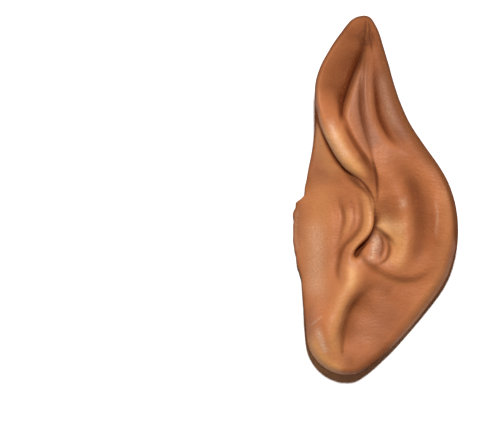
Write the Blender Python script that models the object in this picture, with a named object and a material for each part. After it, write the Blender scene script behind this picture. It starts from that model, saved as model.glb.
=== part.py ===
"""Slip-latex elf ear cover: a thin hollow skin with a long pointed horn, worn over a real ear.

The ear lies on its flat back rim. +X runs from the cheek flange to the rear rim, +Y from the
lobe to the tip, +Z out of the back to the face. All sizes are in metres.
"""

import math

import bpy
import numpy as np

# Driving sizes
LENGTH = 0.115        # lobe to tip
WIDTH = 0.0525        # edge of the cheek flange to the rear rim
DEPTH = 0.021         # rest plane to the crest of the front roll
WALL = 0.0015         # latex skin
HEEL = 0.003          # how far the foot of a high wall draws in under the face
HEEL_HEIGHT = 0.008   # height of a wall that draws in as far as that
RIM = 0.0052          # flat return rim round the opening in the back
ROUND = 0.0028        # width over which the face turns down into the wall
STEP = 0.0008         # width of the step between the flange and the face
ROLL_ROUND = 0.0019   # rounding of the roll along the step
TRAGUS_ROUND = 0.0015 # rounding of the tragus along the step
ROLL_LEAN = 0.0010    # overhang of the roll over the flange
TRAGUS_LEAN = 0.0012  # overhang of the tragus over the concha
LEAN_REACH = 0.008    # how far to each side of the step the overhang is felt

# Shares of the heights and sizes above
EDGE_TURN = 0.48      # of its height, what the face loses where it turns into the wall
ROLL_TURN = 0.16      # of DEPTH, what the roll's rounded edge loses
TRAGUS_TURN = 0.12    # of DEPTH, what the edge of the tragus loses
SOFT_STEP = 0.15      # of WIDTH, over which flange and face run together below the tragus
FRONT_RIM = 0.9       # of RIM, the return on the front of the lobe and the horn
OVER_FLANGE = 0.12    # of DEPTH, below which the overhang dies out

# Finish
LATEX_COLOUR = (0.47, 0.19, 0.085, 1.0)
LATEX_ROUGHNESS = 0.46

# Mesh
ROWS = 180            # from tip to lobe
COLUMNS = 76          # across the face
WALL_RINGS = 8
BASE_RINGS = 8
MAP_STEP = 0.0003     # cell of the height map
EASE = 0.00025        # reach over which heights are eased
TRIANGLES = 11200     # of the finished skin

# Sections across the ear, in hundredths of LENGTH for y, of WIDTH for the next three and of
# DEPTH for the last four. The step divides the cheek flange from the face.
# y, front, step, rear, flange edge, flange at step, face at step, face at rear
SECTIONS = (
    (100.0, 42.9, 42.9, 43.5, 20, 24, 38, 38),
    (99.6, 38.6, 38.6, 46.2, 20, 24, 43, 43),
    (98.3, 34.3, 34.3, 48.6, 20, 24, 48, 48),
    (95.3, 29.1, 29.1, 51.7, 20, 24, 57, 57),
    (90.8, 22.3, 22.3, 54.7, 20, 24, 69, 64),
    (85.9, 16.4, 16.4, 57.8, 20, 24, 79, 69),
    (80.9, 13.1, 13.1, 60.8, 62, 70, 84, 71),
    (75.3, 12.8, 13.0, 65.0, 63, 72, 84, 74),
    (69.8, 12.8, 15.2, 70.5, 60, 73, 84, 76),
    (63.7, 11.6, 20.7, 79.3, 48, 73, 84, 79),
    (57.6, 9.1, 29.5, 88.8, 33, 71, 82, 81),
    (52.6, 7.0, 43.5, 94.5, 20, 68, 78, 82),
    (46.5, 0.9, 49.8, 98.5, 12, 64, 69, 80),
    (39.8, 0.0, 48.3, 100.0, 11, 67, 62, 73),
    (33.7, 1.2, 37.4, 98.8, 11, 62, 60, 60),
    (27.0, 4.6, 35.6, 94.2, 14, 62, 62, 47),
    (20.4, 6.1, 29.5, 85.1, 21, 62, 62, 38),
    (13.7, 7.0, 25.8, 72.9, 34, 60, 60, 35),
    (8.2, 8.5, 26.4, 61.4, 42, 57, 57, 38),
    (4.3, 13.1, 28.9, 52.0, 46, 54, 54, 43),
    (1.7, 19.8, 30.7, 44.1, 47, 51, 51, 48),
    (0.3, 27.1, 32.5, 38.0, 46, 49, 49, 49),
    (0.0, 32.5, 32.5, 33.1, 43, 46, 46, 46),
)

# Ridges and grooves: name, the side of the step it lies on, height in hundredths of DEPTH,
# power of its fall-off, half width to the front and to the rear in hundredths of WIDTH, and
# its line as x and y in hundredths of WIDTH and LENGTH.
FOLDS = (
    ("front roll", "face", 15, 2.2, 6.5, 8.0,
     ((17.0, 81.0), (19.0, 75.5), (22.0, 70.3), (26.6, 65.2), (32.5, 60.9), (39.5, 57.2),
      (45.2, 53.3), (48.0, 49.8))),
    ("pocket behind the roll", "face", -36, 1.6, 10.0, 1.9,
     ((42.5, 95.0), (39.5, 90.0), (34.6, 84.0), (30.2, 78.4), (27.5, 73.5), (26.0, 66.0))),
    ("crease behind the roll", "face", -9, 1.6, 2.2, 1.2,
     ((31.5, 82.0), (28.6, 76.5), (29.0, 72.2), (32.0, 68.2), (37.5, 63.6), (44.0, 59.2),
      (48.6, 55.4), (50.4, 51.5), (50.4, 43.0))),
    ("first ridge of the horn", "face", 4, 3.6, 5.2, 5.0,
     ((42.6, 94.0), (39.0, 85.0), (35.6, 77.5), (35.0, 72.0), (38.6, 66.4), (44.5, 61.0))),
    ("first groove of the horn", "face", -4.5, 2.0, 1.2, 1.3,
     ((44.0, 92.5), (42.0, 85.4), (40.6, 79.0), (40.6, 73.4), (43.2, 67.6), (47.0, 61.8),
      (49.6, 56.5))),
    ("second ridge of the horn", "face", 3, 3.0, 3.4, 3.0,
     ((46.5, 91.0), (46.0, 85.0), (45.6, 78.4), (46.4, 72.5), (50.6, 67.0), (57.4, 62.0))),
    ("second groove of the horn", "face", -12, 1.7, 1.8, 3.0,
     ((48.4, 94.0), (49.4, 86.0), (50.0, 78.4), (51.8, 72.0), (56.8, 66.8), (62.6, 63.8),
      (71.0, 61.0))),
    ("slope inside the rear rim", "face", 4, 3.0, 6.0, 6.0,
     ((50.5, 93.1), (55.5, 83.6), (60.0, 75.3), (66.6, 68.7), (76.3, 62.6), (86.6, 57.0))),
    ("groove inside the rear rim", "face", -18, 2.0, 5.4, 6.2,
     ((56.0, 60.0), (65.5, 57.0), (72.0, 52.5), (75.3, 47.0), (76.2, 41.0), (75.0, 35.0),
      (70.5, 29.5))),
    ("antihelix", "face", 7, 2.4, 7.0, 5.5,
     ((56.5, 56.4), (64.0, 49.8), (66.6, 43.1), (66.0, 36.5), (61.0, 30.9), (52.0, 29.0))),
    ("ridge beside the rear rim", "face", 2.5, 2.0, 3.0, 2.5,
     ((79.8, 55.3), (84.4, 49.8), (85.8, 43.1), (84.4, 35.9), (79.0, 30.4))),
    ("rear rim", "face", 4.5, 2.0, 5.0, 5.5,
     ((83.0, 59.8), (90.9, 52.6), (93.9, 44.8), (92.7, 37.6), (86.6, 30.4), (74.5, 23.7))),
    ("upper hollow", "face", -5, 2.0, 4.5, 5.0,
     ((52.6, 56.4), (55.0, 50.3), (55.6, 44.2))),
    ("concha", "face", -20, 2.6, 13.0, 10.0,
     ((55.0, 49.8), (55.6, 43.7), (55.0, 37.6), (47.7, 31.5))),
    ("swelling across the concha", "face", 4, 2.4, 7.5, 7.5,
     ((48.0, 40.8), (58.7, 40.9), (72.0, 42.5))),
    ("canal", "face", -8, 2.6, 5.0, 3.6,
     ((52.6, 39.8), (50.2, 35.9), (46.5, 32.0))),
    ("notch under the tragus", "face", -16, 2.0, 1.7, 1.2,
     ((47.5, 38.0), (43.0, 35.8), (39.0, 33.6), (37.2, 31.6))),
    ("curve under the antihelix", "face", -7.5, 1.8, 6.0, 2.2,
     ((34.0, 32.5), (43.0, 29.9), (51.0, 28.2), (58.5, 26.4), (66.0, 25.6), (74.5, 26.0),
      (82.5, 28.2), (90.0, 32.5))),
    ("ridge from tragus to lobe", "both", 8, 2.4, 9.0, 7.5,
     ((33.1, 37.5), (35.5, 31.0), (34.5, 26.5), (28.5, 20.5), (23.8, 13.0), (23.5, 7.0),
      (27.3, 1.5))),
    ("valley of the lobe", "both", -16, 1.6, 2.8, 13.0,
     ((57.0, 25.0), (44.5, 22.5), (36.5, 18.5), (32.0, 13.0), (30.2, 8.0), (32.6, -0.7))),
    ("front of the lobe", "both", 6, 2.0, 5.5, 5.5,
     ((13.5, 22.0), (17.0, 13.0), (22.0, 3.0))),
    ("back of the lobe", "both", 4, 2.0, 10.0, 10.0,
     ((66.0, 20.9), (53.8, 13.7), (44.1, 6.5))),
    ("crease before the tragus", "cheek", -5, 1.8, 2.6, 1.7,
     ((24.0, 51.5), (28.0, 48.2), (30.4, 44.6), (29.8, 40.6), (27.2, 37.0), (25.6, 33.0))),
    ("crease inside the tragus", "cheek", -10, 1.8, 3.6, 2.6,
     ((33.5, 54.5), (38.8, 49.5), (41.4, 44.8), (40.4, 40.8), (35.6, 38.0), (30.8, 35.8),
      (27.6, 32.4), (26.6, 28.6), (28.6, 24.8), (33.5, 22.5))),
    ("curl of the flange", "cheek", -6, 2.0, 5.0, 3.0,
     ((2.7, 51.5), (1.5, 41.5), (2.7, 31.5))),
)

# Ragged trimmed edge of the flange: level and half width in hundredths of LENGTH, and how far it
# is cut in, in hundredths of WIDTH
EDGE_BITES = (
    (50.0, 1.5, 2.2),
    (48.0, 0.6, -0.7),
    (46.6, 0.5, 0.5),
    (44.9, 0.8, -0.5),
    (42.8, 0.6, 0.3),
    (37.6, 0.9, -0.3),
    (33.4, 0.8, 0.4),
    (30.4, 1.0, -0.4),
    (26.8, 1.1, 0.3),
)

# How wide the face turns down into the wall: level in hundredths of LENGTH and share of ROUND
EDGE_WIDTHS = (
    (0.0, 0.8),
    (8.0, 1.0),
    (20.0, 1.5),
    (33.0, 1.25),
    (45.0, 0.85),
    (70.0, 0.55),
    (90.0, 0.45),
    (100.0, 0.45),
)

# Where the features start and end along the ear, in hundredths of LENGTH
STEP_TOP = (73.0, 79.0)
STEP_FOOT = (28.5, 33.5)
ROLL_SPAN = (52.0, 57.0, 72.0, 80.0)
TRAGUS_SPAN = (31.5, 35.0, 45.0, 49.0)
FREE_EDGE_SPAN = (9.0, 20.0, 66.0, 74.5)
STEP_COLUMN_SPAN = (22.0, 32.0, 67.0, 86.0)
STEP_COLUMNS = (0.24, 0.36)
OPENING_FOOT = 6.5
OPENING_TOP = 71.5


def smooth(value):
    """Ease from 0 to 1 as the value goes from 0 to 1."""
    value = np.clip(value, 0.0, 1.0)
    return value * value * (3.0 - 2.0 * value)


def span(value, marks):
    """Weight that rises between the first two marks and falls between the last two."""
    rise = smooth((value - marks[0]) / (marks[1] - marks[0]))
    fall = smooth((marks[3] - value) / (marks[3] - marks[2]))
    return rise * fall


def spline(points, count):
    """Smooth line through the points, as count points."""
    points = np.asarray(points, float)
    ends = (2.0 * points[:1] - points[1:2], points, 2.0 * points[-1:] - points[-2:-1])
    points = np.vstack(ends)
    place = np.linspace(0.0, len(points) - 3, count)
    index = np.minimum(place.astype(int), len(points) - 4)
    part = (place - index)[:, None]
    a, b, c, d = (points[index + step] for step in range(4))
    square = part * part
    return 0.5 * (2.0 * b + (c - a) * part + (2.0 * a - 5.0 * b + 4.0 * c - d) * square
                  + (3.0 * b - a - 3.0 * c + d) * square * part)


def nearest(line, x, y):
    """Distance to a line, signed distance across it (plus to the rear) and share along it."""
    best = np.full(x.shape, np.inf)
    across = np.zeros(x.shape)
    along = np.zeros(x.shape)
    for index in range(len(line) - 1):
        start = line[index]
        run = line[index + 1] - start
        square = max(float(run @ run), 1e-18)
        dx = x - start[0]
        dy = y - start[1]
        share = np.clip((dx * run[0] + dy * run[1]) / square, 0.0, 1.0)
        away = np.hypot(dx - share * run[0], dy - share * run[1])
        closer = away < best
        best = np.where(closer, away, best)
        across = np.where(closer, (dy * run[0] - dx * run[1]) / math.sqrt(square), across)
        along = np.where(closer, (index + share) / (len(line) - 1), along)
    return best, across, along


def eased_nearest(line, x, y):
    """The same three measures, eased where two pieces of the line are about as near."""
    start = line[:-1, :, None]
    run = line[1:, :, None] - start
    square = np.maximum(run[:, 0] ** 2 + run[:, 1] ** 2, 1e-18)
    dx = x.ravel() - start[:, 0]
    dy = y.ravel() - start[:, 1]
    share = np.clip((dx * run[:, 0] + dy * run[:, 1]) / square, 0.0, 1.0)
    away = np.hypot(dx - share * run[:, 0], dy - share * run[:, 1])
    best = away.min(axis=0)
    weight = np.exp((best - away) / (0.15 * best + 0.0001))
    weight /= weight.sum(axis=0)
    place = (np.arange(len(run))[:, None] + share) / len(run)
    across = (dy * run[:, 0] - dx * run[:, 1]) / np.sqrt(square)
    results = (best, (weight * across).sum(axis=0), (weight * place).sum(axis=0))
    return tuple(result.reshape(x.shape) for result in results)


def turned(away, width):
    """Drop from 0 to 1 of a rounded edge as the distance to it goes from the width to 0."""
    part = 1.0 - np.clip(away / width, 0.0, 1.0)
    return 1.0 - np.sqrt(np.maximum(1.0 - part * part, 0.0))


def section_table():
    """Smooth sections in metres, from the lobe up."""
    rows = spline(SECTIONS, 8 * len(SECTIONS))
    rows = rows[np.argsort(rows[:, 0])]
    scale = np.array((LENGTH, WIDTH, WIDTH, WIDTH, DEPTH, DEPTH, DEPTH, DEPTH)) / 100.0
    return rows * scale


TABLE = section_table()


def section(y, column):
    """Value of a column of the section table at each y."""
    return np.interp(y, TABLE[:, 0], TABLE[:, column])


def fold_height(fold, x, y):
    """Height that one ridge or groove adds at each point."""
    height, power, front_width, rear_width = fold[2:6]
    scale = np.array((WIDTH, LENGTH)) / 100.0
    line = spline(fold[6], 6 * len(fold[6]) + 1) * scale
    if line[0, 1] < line[-1, 1]:
        line = line[::-1]
    reach = 3.2 * max(front_width, rear_width) * WIDTH / 100.0
    near = (x > line[:, 0].min() - reach) & (x < line[:, 0].max() + reach)
    near &= (y > line[:, 1].min() - reach) & (y < line[:, 1].max() + reach)
    away, across, along = eased_nearest(line, x[near], y[near])
    turn = min(front_width, rear_width) * WIDTH / 100.0
    rearward = 0.5 + 0.5 * np.tanh(across / turn)
    width = (front_width + (rear_width - front_width) * rearward) * WIDTH / 100.0
    taper = smooth(np.minimum(along, 1.0 - along) / 0.42)
    added = np.zeros(x.shape)
    added[near] = height * DEPTH / 100.0 * taper * np.exp(-0.69 * (away / width) ** power)
    return added


def edge_drop(x, y, column):
    """How far the face has turned down towards the front or rear outline, from 0 to 1."""
    sign = 1.0 if column == 1 else -1.0
    levels, shares = np.array(EDGE_WIDTHS).T
    reach = ROUND * shares.max()
    inner = np.max([sign * section(y + shift, column) for shift in (-reach, 0.0, reach)], axis=0)
    near = (sign * x < inner + reach) | (y < reach) | (y > LENGTH - reach)
    drop = np.zeros(x.shape)
    away, _, _ = nearest(TABLE[::2, (column, 0)], x[near], y[near])
    outside = sign * (x[near] - section(y[near], column)) < 0.0
    share = np.interp(100.0 * y[near] / LENGTH, levels, shares)
    drop[near] = share * turned(np.where(outside, 0.0, away), share * ROUND)
    return drop


def surface(x, y):
    """Height of the face above the rest plane."""
    level = 100.0 * y / LENGTH
    front, step, rear = (section(y, column) for column in (1, 2, 3))
    share = np.clip((x - front) / np.maximum(step - front, 1e-6), 0.0, 1.0)
    edge = section(y, 4)
    cheek = edge + (section(y, 5) - edge) * np.sin(share * math.pi / 2.0)
    share = np.clip((x - step) / np.maximum(rear - step, 1e-6), 0.0, 1.0)
    at_step = section(y, 6)
    face = at_step + (section(y, 7) - at_step) * smooth(share)
    for fold in FOLDS:
        added = fold_height(fold, x, y)
        if fold[1] != "cheek":
            face = face + added
        if fold[1] != "face":
            cheek = cheek + added
    height = 100.0 * TABLE[:, 0] / LENGTH
    line = TABLE[(height > STEP_FOOT[1]) & (height < STEP_TOP[1])][::-1]
    _, across, _ = nearest(line[:, (2, 0)], x, y)
    across = across + 4.0 * STEP * smooth((level - STEP_TOP[0]) / (STEP_TOP[1] - STEP_TOP[0]))
    roll = span(level, ROLL_SPAN) * turned(np.maximum(across, 0.0), ROLL_ROUND)
    face = face - ROLL_TURN * DEPTH * roll
    tragus = span(level, TRAGUS_SPAN) * turned(np.maximum(-across, 0.0), TRAGUS_ROUND)
    cheek = cheek - TRAGUS_TURN * DEPTH * tragus
    sharp = smooth(across / STEP + 0.5)
    wide = smooth((x - step) / (SOFT_STEP * WIDTH) + 0.5)
    blend = smooth((level - STEP_FOOT[0]) / (STEP_FOOT[1] - STEP_FOOT[0]))
    height = cheek + (face - cheek) * (blend * sharp + (1.0 - blend) * wide)
    walled = 1.0 - span(level, FREE_EDGE_SPAN)
    drop = np.maximum(edge_drop(x, y, 3), walled * edge_drop(x, y, 1))
    return height * (1.0 - EDGE_TURN * drop)


def relief(x, y):
    """Height of the face, eased over a small neighbourhood."""
    total = 2.0 * surface(x, y)
    for dx, dy in ((EASE, 0.0), (-EASE, 0.0), (0.0, EASE), (0.0, -EASE)):
        total = total + surface(x + dx, y + dy)
    return total / 6.0


def eased(table):
    """A table of heights with each value drawn towards its neighbours."""
    padded = np.pad(table, 1, mode="edge")
    table = (padded[:-2] + 2.0 * padded[1:-1] + padded[2:]) / 4.0
    return (table[:, :-2] + 2.0 * table[:, 1:-1] + table[:, 2:]) / 4.0


# Mesh build

def bite(y):
    """How far the trimmed edge of the flange is cut in, less than 0 where a tooth stands out."""
    level = 100.0 * y / LENGTH
    cuts = [cut * np.exp(-((level - place) / half) ** 2) for place, half, cut in EDGE_BITES]
    return sum(cuts) * WIDTH / 100.0


def outline(inset):
    """Rows of the outline drawn in by a distance: y, front x and rear x, from lobe to tip."""
    y = np.linspace(0.0, LENGTH, 2401)
    front = section(y, 1) + bite(y)
    rear = section(y, 3)
    if inset > 0.0:
        drawn_front = np.full(y.shape, -np.inf)
        drawn_rear = np.full(y.shape, np.inf)
        for shift in np.linspace(-inset, inset, 41):
            reach = math.sqrt(max(inset * inset - shift * shift, 0.0))
            there = y + shift
            outside = (there < 0.0) | (there > LENGTH)
            edge = np.where(outside, np.inf, section(there, 1) + bite(there) + reach)
            drawn_front = np.maximum(drawn_front, edge)
            edge = np.where(outside, -np.inf, section(there, 3) - reach)
            drawn_rear = np.minimum(drawn_rear, edge)
        inside = drawn_front < drawn_rear
        y, front, rear = y[inside], drawn_front[inside], drawn_rear[inside]
    return y, front, rear


def row_levels(count):
    """Shares from lobe to tip, close together near both ends."""
    share = np.linspace(0.0, 1.0, count)
    return 0.45 * share + 0.55 * (0.5 - 0.5 * np.cos(math.pi * share))


def opening_line(level, front_side):
    """Opening in the back at each share of LENGTH, for points on one side of the outline."""
    foot, top = OPENING_FOOT / 100.0, OPENING_TOP / 100.0
    if front_side:
        level = np.interp(level, (0.0, 0.10, 0.20, 0.66, 0.745, 1.0),
                          (foot, 0.12, 0.20, 0.66, 0.70, top))
    else:
        level = np.interp(level, (0.0, 0.18, 0.58, 1.0), (foot, 0.18, 0.58, top))
    y = level * LENGTH
    rear = section(y, 3) - HEEL - RIM
    front = section(y, 1) + FRONT_RIM * RIM * (1.0 - span(100.0 * level, FREE_EDGE_SPAN))
    part = np.abs((level - 0.5 * (foot + top)) / (0.5 * (top - foot)))
    narrow = np.sqrt(np.maximum(1.0 - part ** 7, 0.0))
    middle = 0.5 * (front + rear)
    half = np.maximum(0.5 * (rear - front), 0.5 * WALL) * narrow
    return middle + (-half if front_side else half), y


def skin(inset, height_at, measure, rows, columns):
    """Points of one skin: the face in rows, then rings down the wall and in along the back."""
    levels = row_levels(rows)[1:-1]
    y_table, front_table, rear_table = outline(inset)
    y = y_table[0] + (y_table[-1] - y_table[0]) * levels
    front = np.interp(y, y_table, front_table)
    rear = np.interp(y, y_table, rear_table)
    fine = np.linspace(0.0, 1.0, 301)
    x = front[:, None] + (rear - front)[:, None] * fine
    z = measure(x, np.repeat(y[:, None], len(fine), axis=1))
    across = np.diff(x, axis=1)
    rise = np.minimum(np.abs(np.diff(z, axis=1)), 1.5 * across)
    run = np.hypot(across, rise) + 0.0005 * (rear - front)[:, None]
    run = np.hstack((np.zeros((len(y), 1)), np.cumsum(run, axis=1)))
    run /= run[:, -1:]
    even = np.linspace(0.0, 1.0, columns)
    level = 100.0 * y / LENGTH
    aligned = span(level, STEP_COLUMN_SPAN)
    step = (section(y, 2) - front) / (rear - front)
    places = []
    for index, row in enumerate(run):
        before, after = np.interp(step[index] + np.array((-0.6, 0.6)) * STEP
                                  / (rear[index] - front[index]), fine, row)
        marks = np.round(np.array(STEP_COLUMNS) * columns) / (columns - 1.0)
        placed = np.interp(even, (0.0, marks[0], marks[1], 1.0), (0.0, before, after, 1.0))
        placed = even + (placed - even) * aligned[index]
        places.append(np.interp(placed, row, fine))
    places = np.array(places)
    x = front[:, None] + (rear - front)[:, None] * places
    y = np.repeat(y[:, None], columns, axis=1)
    face = np.dstack((x, y, height_at(x, y)))
    poles = []
    for index in (0, -1):
        pole_x = 0.5 * (front_table[index] + rear_table[index])
        pole = np.array([[pole_x, y_table[index]]])
        poles.append(np.hstack((pole, height_at(pole[:, :1], pole[:, 1:]))))
    lobe, tip = poles
    loop = np.vstack((lobe, face[:, -1], tip, face[::-1, 0]))
    sides = np.array([0] + [0] * len(face) + [0] + [1] * len(face), bool)
    shares = np.concatenate(([0.0], levels, [1.0], levels[::-1]))
    return face, lobe, tip, loop, sides, shares


def rings(inset, loop, sides, shares, lift, wall_rings, base_rings):
    """Rings that carry the edge of the face down the wall and in to the opening."""
    y_table, front_table, rear_table = outline(inset + HEEL)
    heel_y = y_table[0] + (y_table[-1] - y_table[0]) * shares
    heel_x = np.where(sides, np.interp(heel_y, y_table, front_table),
                      np.interp(heel_y, y_table, rear_table))
    drawn = np.clip((loop[:, 2] + inset) / HEEL_HEIGHT, 0.0, 1.0)
    heel_x = loop[:, 0] + (heel_x - loop[:, 0]) * drawn
    heel_y = loop[:, 1] + (heel_y - loop[:, 1]) * drawn
    level = loop[:, 1] / LENGTH
    rear_x, rear_y = opening_line(level, False)
    front_x, front_y = opening_line(level, True)
    open_x = np.where(sides, front_x, rear_x)
    open_y = np.where(sides, front_y, rear_y)
    free = np.where(sides, span(100.0 * level, FREE_EDGE_SPAN), 0.0)
    inner = inset > 0.0
    result = []
    total = wall_rings + base_rings
    for index in range(1, total + 1):
        if index <= wall_rings:
            part = index / wall_rings
            blend = part * part
            x = loop[:, 0] + (heel_x - loop[:, 0]) * blend
            y = loop[:, 1] + (heel_y - loop[:, 1]) * blend
            z = lift + (loop[:, 2] - lift) * (1.0 - part)
        else:
            part = (index - wall_rings) / base_rings
            x = heel_x + (open_x - heel_x) * part
            y = heel_y + (open_y - heel_y) * part
            z = np.full(len(loop), lift)
        part = index / total
        edge_x = loop[:, 0] + (-0.6 if inner else 0.12) * WALL * part
        edge_z = loop[:, 2] + (0.10 if inner else -0.35) * WALL * part
        result.append(np.column_stack((x + (edge_x - x) * free, y + (loop[:, 1] - y) * free,
                                       z + (edge_z - z) * free)))
    return result


def lean(points):
    """Draw the foot of the step in, so that roll and tragus overhang what lies beside them."""
    x, y, z = points.T
    level = 100.0 * y / LENGTH
    front, step = section(y, 1), section(y, 2)
    near = np.exp(-((x - step) / LEAN_REACH) ** 2)
    near = near * smooth((x - front) / np.maximum(step - front, 1e-6))
    shift = ROLL_LEAN * span(level, ROLL_SPAN) - TRAGUS_LEAN * span(level, TRAGUS_SPAN)
    below = np.clip(1.0 - z / DEPTH, 0.0, 1.0) * smooth(z / (OVER_FLANGE * DEPTH))
    return np.column_stack((x + shift * near * below, y, z))


class HeightMap:
    """Heights on a regular grid, read between its cells."""

    def __init__(self):
        self.x = np.arange(-2.0 * WALL, WIDTH + 2.0 * WALL, MAP_STEP)
        self.y = np.arange(-2.0 * WALL, LENGTH + 2.0 * WALL, MAP_STEP)
        grid_x, grid_y = np.meshgrid(self.x, self.y)
        self.outer = eased(surface(grid_x, grid_y))
        self.inner = self.hollowed()

    def hollowed(self):
        """Height of the inner skin, kept a wall away from every point of the outer one."""
        reach = int(WALL / MAP_STEP)
        padded = np.pad(self.outer, reach, mode="edge")
        rows, columns = self.outer.shape
        result = np.full(self.outer.shape, np.inf)
        for step_y in range(-reach, reach + 1):
            for step_x in range(-reach, reach + 1):
                square = WALL ** 2 - (step_x ** 2 + step_y ** 2) * MAP_STEP ** 2
                if square >= 0.0:
                    moved = padded[reach + step_y:reach + step_y + rows,
                                   reach + step_x:reach + step_x + columns]
                    result = np.minimum(result, moved - math.sqrt(square))
        return result

    def read(self, table, x, y):
        """Height at each point of a table laid on the grid."""
        column = np.clip((x - self.x[0]) / MAP_STEP, 0.0, len(self.x) - 1.001)
        row = np.clip((y - self.y[0]) / MAP_STEP, 0.0, len(self.y) - 1.001)
        left, low = column.astype(int), row.astype(int)
        right_part, top_part = column - left, row - low
        below = table[low, left] * (1.0 - right_part) + table[low, left + 1] * right_part
        above = table[low + 1, left] * (1.0 - right_part) + table[low + 1, left + 1] * right_part
        return below * (1.0 - top_part) + above * top_part

    def outer_at(self, x, y):
        """Height of the outer skin."""
        return self.read(self.outer, x, y)

    def inner_at(self, x, y):
        """Height of the inner skin."""
        return self.read(self.inner, x, y)


def skin_mesh(inset, height_at, measure, lift, start):
    """Points and faces of one skin, and the numbers of the points round its open edge."""
    face, lobe, tip, loop, sides, shares = skin(inset, height_at, measure, ROWS, COLUMNS)
    rows = len(face)
    count = rows * COLUMNS
    points = [face.reshape(-1, 3), lobe, tip]
    grid = start + np.arange(count).reshape(rows, COLUMNS)
    lobe_index, tip_index = start + count, start + count + 1
    ring = np.concatenate(([lobe_index], grid[:, -1], [tip_index], grid[::-1, 0]))
    faces = []
    for row in range(rows - 1):
        for column in range(COLUMNS - 1):
            corners = (grid[row, column], grid[row, column + 1],
                       grid[row + 1, column + 1], grid[row + 1, column])
            first_rise = abs(face[row, column, 2] - face[row + 1, column + 1, 2])
            second_rise = abs(face[row, column + 1, 2] - face[row + 1, column, 2])
            turn = 0 if first_rise < second_rise else 1
            a, b, c, d = corners[turn:] + corners[:turn]
            faces.append((a, b, c))
            faces.append((a, c, d))
    for column in range(COLUMNS - 1):
        faces.append((lobe_index, grid[0, column + 1], grid[0, column]))
        faces.append((tip_index, grid[-1, column], grid[-1, column + 1]))
    number = start + count + 2
    for ring_points in rings(inset, loop, sides, shares, lift, WALL_RINGS, BASE_RINGS):
        points.append(ring_points)
        below = number + np.arange(len(loop))
        number += len(loop)
        for index in range(len(loop)):
            after = (index + 1) % len(loop)
            faces.append((ring[index], below[index], below[after], ring[after]))
        ring = below
    return np.vstack(points), faces, ring


def build_ear():
    """Both skins joined round the opening into one closed body."""
    heights = HeightMap()
    outer, outer_faces, outer_ring = skin_mesh(0.0, relief, heights.outer_at, 0.0, 0)
    inner, inner_faces, inner_ring = skin_mesh(WALL, heights.inner_at, heights.inner_at, WALL,
                                               len(outer))
    faces = outer_faces + [face[::-1] for face in inner_faces]
    for index in range(len(outer_ring)):
        after = (index + 1) % len(outer_ring)
        faces.append((outer_ring[index], inner_ring[index], inner_ring[after],
                      outer_ring[after]))
    points = lean(np.vstack((outer, inner)))
    points -= np.array((0.5 * WIDTH, 0.5 * LENGTH, 0.0))
    mesh = bpy.data.meshes.new("latex_ear")
    mesh.from_pydata(points.tolist(), [], [tuple(int(i) for i in face) for face in faces])
    mesh.update()
    ear = bpy.data.objects.new("latex_ear", mesh)
    bpy.context.collection.objects.link(ear)
    mesh.materials.append(latex())
    mesh.shade_smooth()
    mesh.calc_loop_triangles()
    thin = ear.modifiers.new("thin out", "DECIMATE")
    thin.ratio = min(1.0, TRIANGLES / len(mesh.loop_triangles))
    return ear


def latex():
    """Satin skin-coloured latex."""
    material = bpy.data.materials.new("latex")
    material.use_nodes = True
    shader = material.node_tree.nodes["Principled BSDF"]
    shader.inputs["Base Color"].default_value = LATEX_COLOUR
    shader.inputs["Roughness"].default_value = LATEX_ROUGHNESS
    shader.inputs["Metallic"].default_value = 0.0
    return material


for old in list(bpy.data.objects):
    bpy.data.objects.remove(old, do_unlink=True)
build_ear()
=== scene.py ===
"""Slip-latex elf ear cover that lies on its flat back rim on a pale table, in soft studio light.

+X runs from the cheek flange to the rear rim, +Y from the lobe to the tip and +Z out of the back
to the face. Sizes are in metres, apart from the tables, which hold shares of the ear's sizes.
"""

import logging
import math
from dataclasses import astuple, dataclass, field
from enum import Enum, IntEnum

import bmesh
import bpy
import numpy as np
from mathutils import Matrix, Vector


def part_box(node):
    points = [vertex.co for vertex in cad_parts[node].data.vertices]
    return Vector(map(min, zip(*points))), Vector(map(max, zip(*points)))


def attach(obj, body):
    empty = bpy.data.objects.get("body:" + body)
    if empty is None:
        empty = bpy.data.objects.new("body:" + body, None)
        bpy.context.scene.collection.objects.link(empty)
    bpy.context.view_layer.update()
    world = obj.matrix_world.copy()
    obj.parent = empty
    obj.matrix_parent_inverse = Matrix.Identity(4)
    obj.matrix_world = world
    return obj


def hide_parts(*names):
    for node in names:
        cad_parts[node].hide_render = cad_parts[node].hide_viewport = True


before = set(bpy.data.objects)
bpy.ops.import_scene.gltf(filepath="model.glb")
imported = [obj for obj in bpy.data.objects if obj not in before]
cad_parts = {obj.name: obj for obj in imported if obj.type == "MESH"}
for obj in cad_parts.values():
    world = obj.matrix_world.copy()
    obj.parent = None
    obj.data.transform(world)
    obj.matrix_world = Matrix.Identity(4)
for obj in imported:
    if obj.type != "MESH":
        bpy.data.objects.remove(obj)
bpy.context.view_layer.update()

LATEX_NODE = "latex_ear"

# Shortest length that counts, in metres
TINY = 1e-6

Array = np.ndarray
Point = tuple[float, float]
Colour = tuple[float, float, float, float]
Socket = bpy.types.NodeSocket
Value = Socket | float | Colour
log = logging.getLogger("elf_ear")


class Side(Enum):
    """Side of the step that a fold shapes."""

    FACE = "face"
    CHEEK = "cheek"
    BOTH = "both"


class Tone(IntEnum):
    """Tone that a brush stroke lays on the latex, by its channel of the painted colour attribute:
    golden tone with painted highlight, rose tone, darker tone with painted shade, and painted
    highlight.
    """

    # Lighter golden tone, together with painted highlight where crests face the light
    GOLD = 0
    ROSE = 1
    # Darker tone, together with painted shade in creases, grooves and along the edges
    BROWN = 2
    # Painted highlight
    PALE = 3


@dataclass(frozen=True)
class Section:
    """Row across the ear, in hundredths of its length for y, width for the next three values
    and depth for the last four. The step divides the cheek flange from the face."""

    y: float
    front: float
    step: float
    rear: float
    flange_edge: float
    flange_at_step: float
    face_at_step: float
    face_at_rear: float


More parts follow.
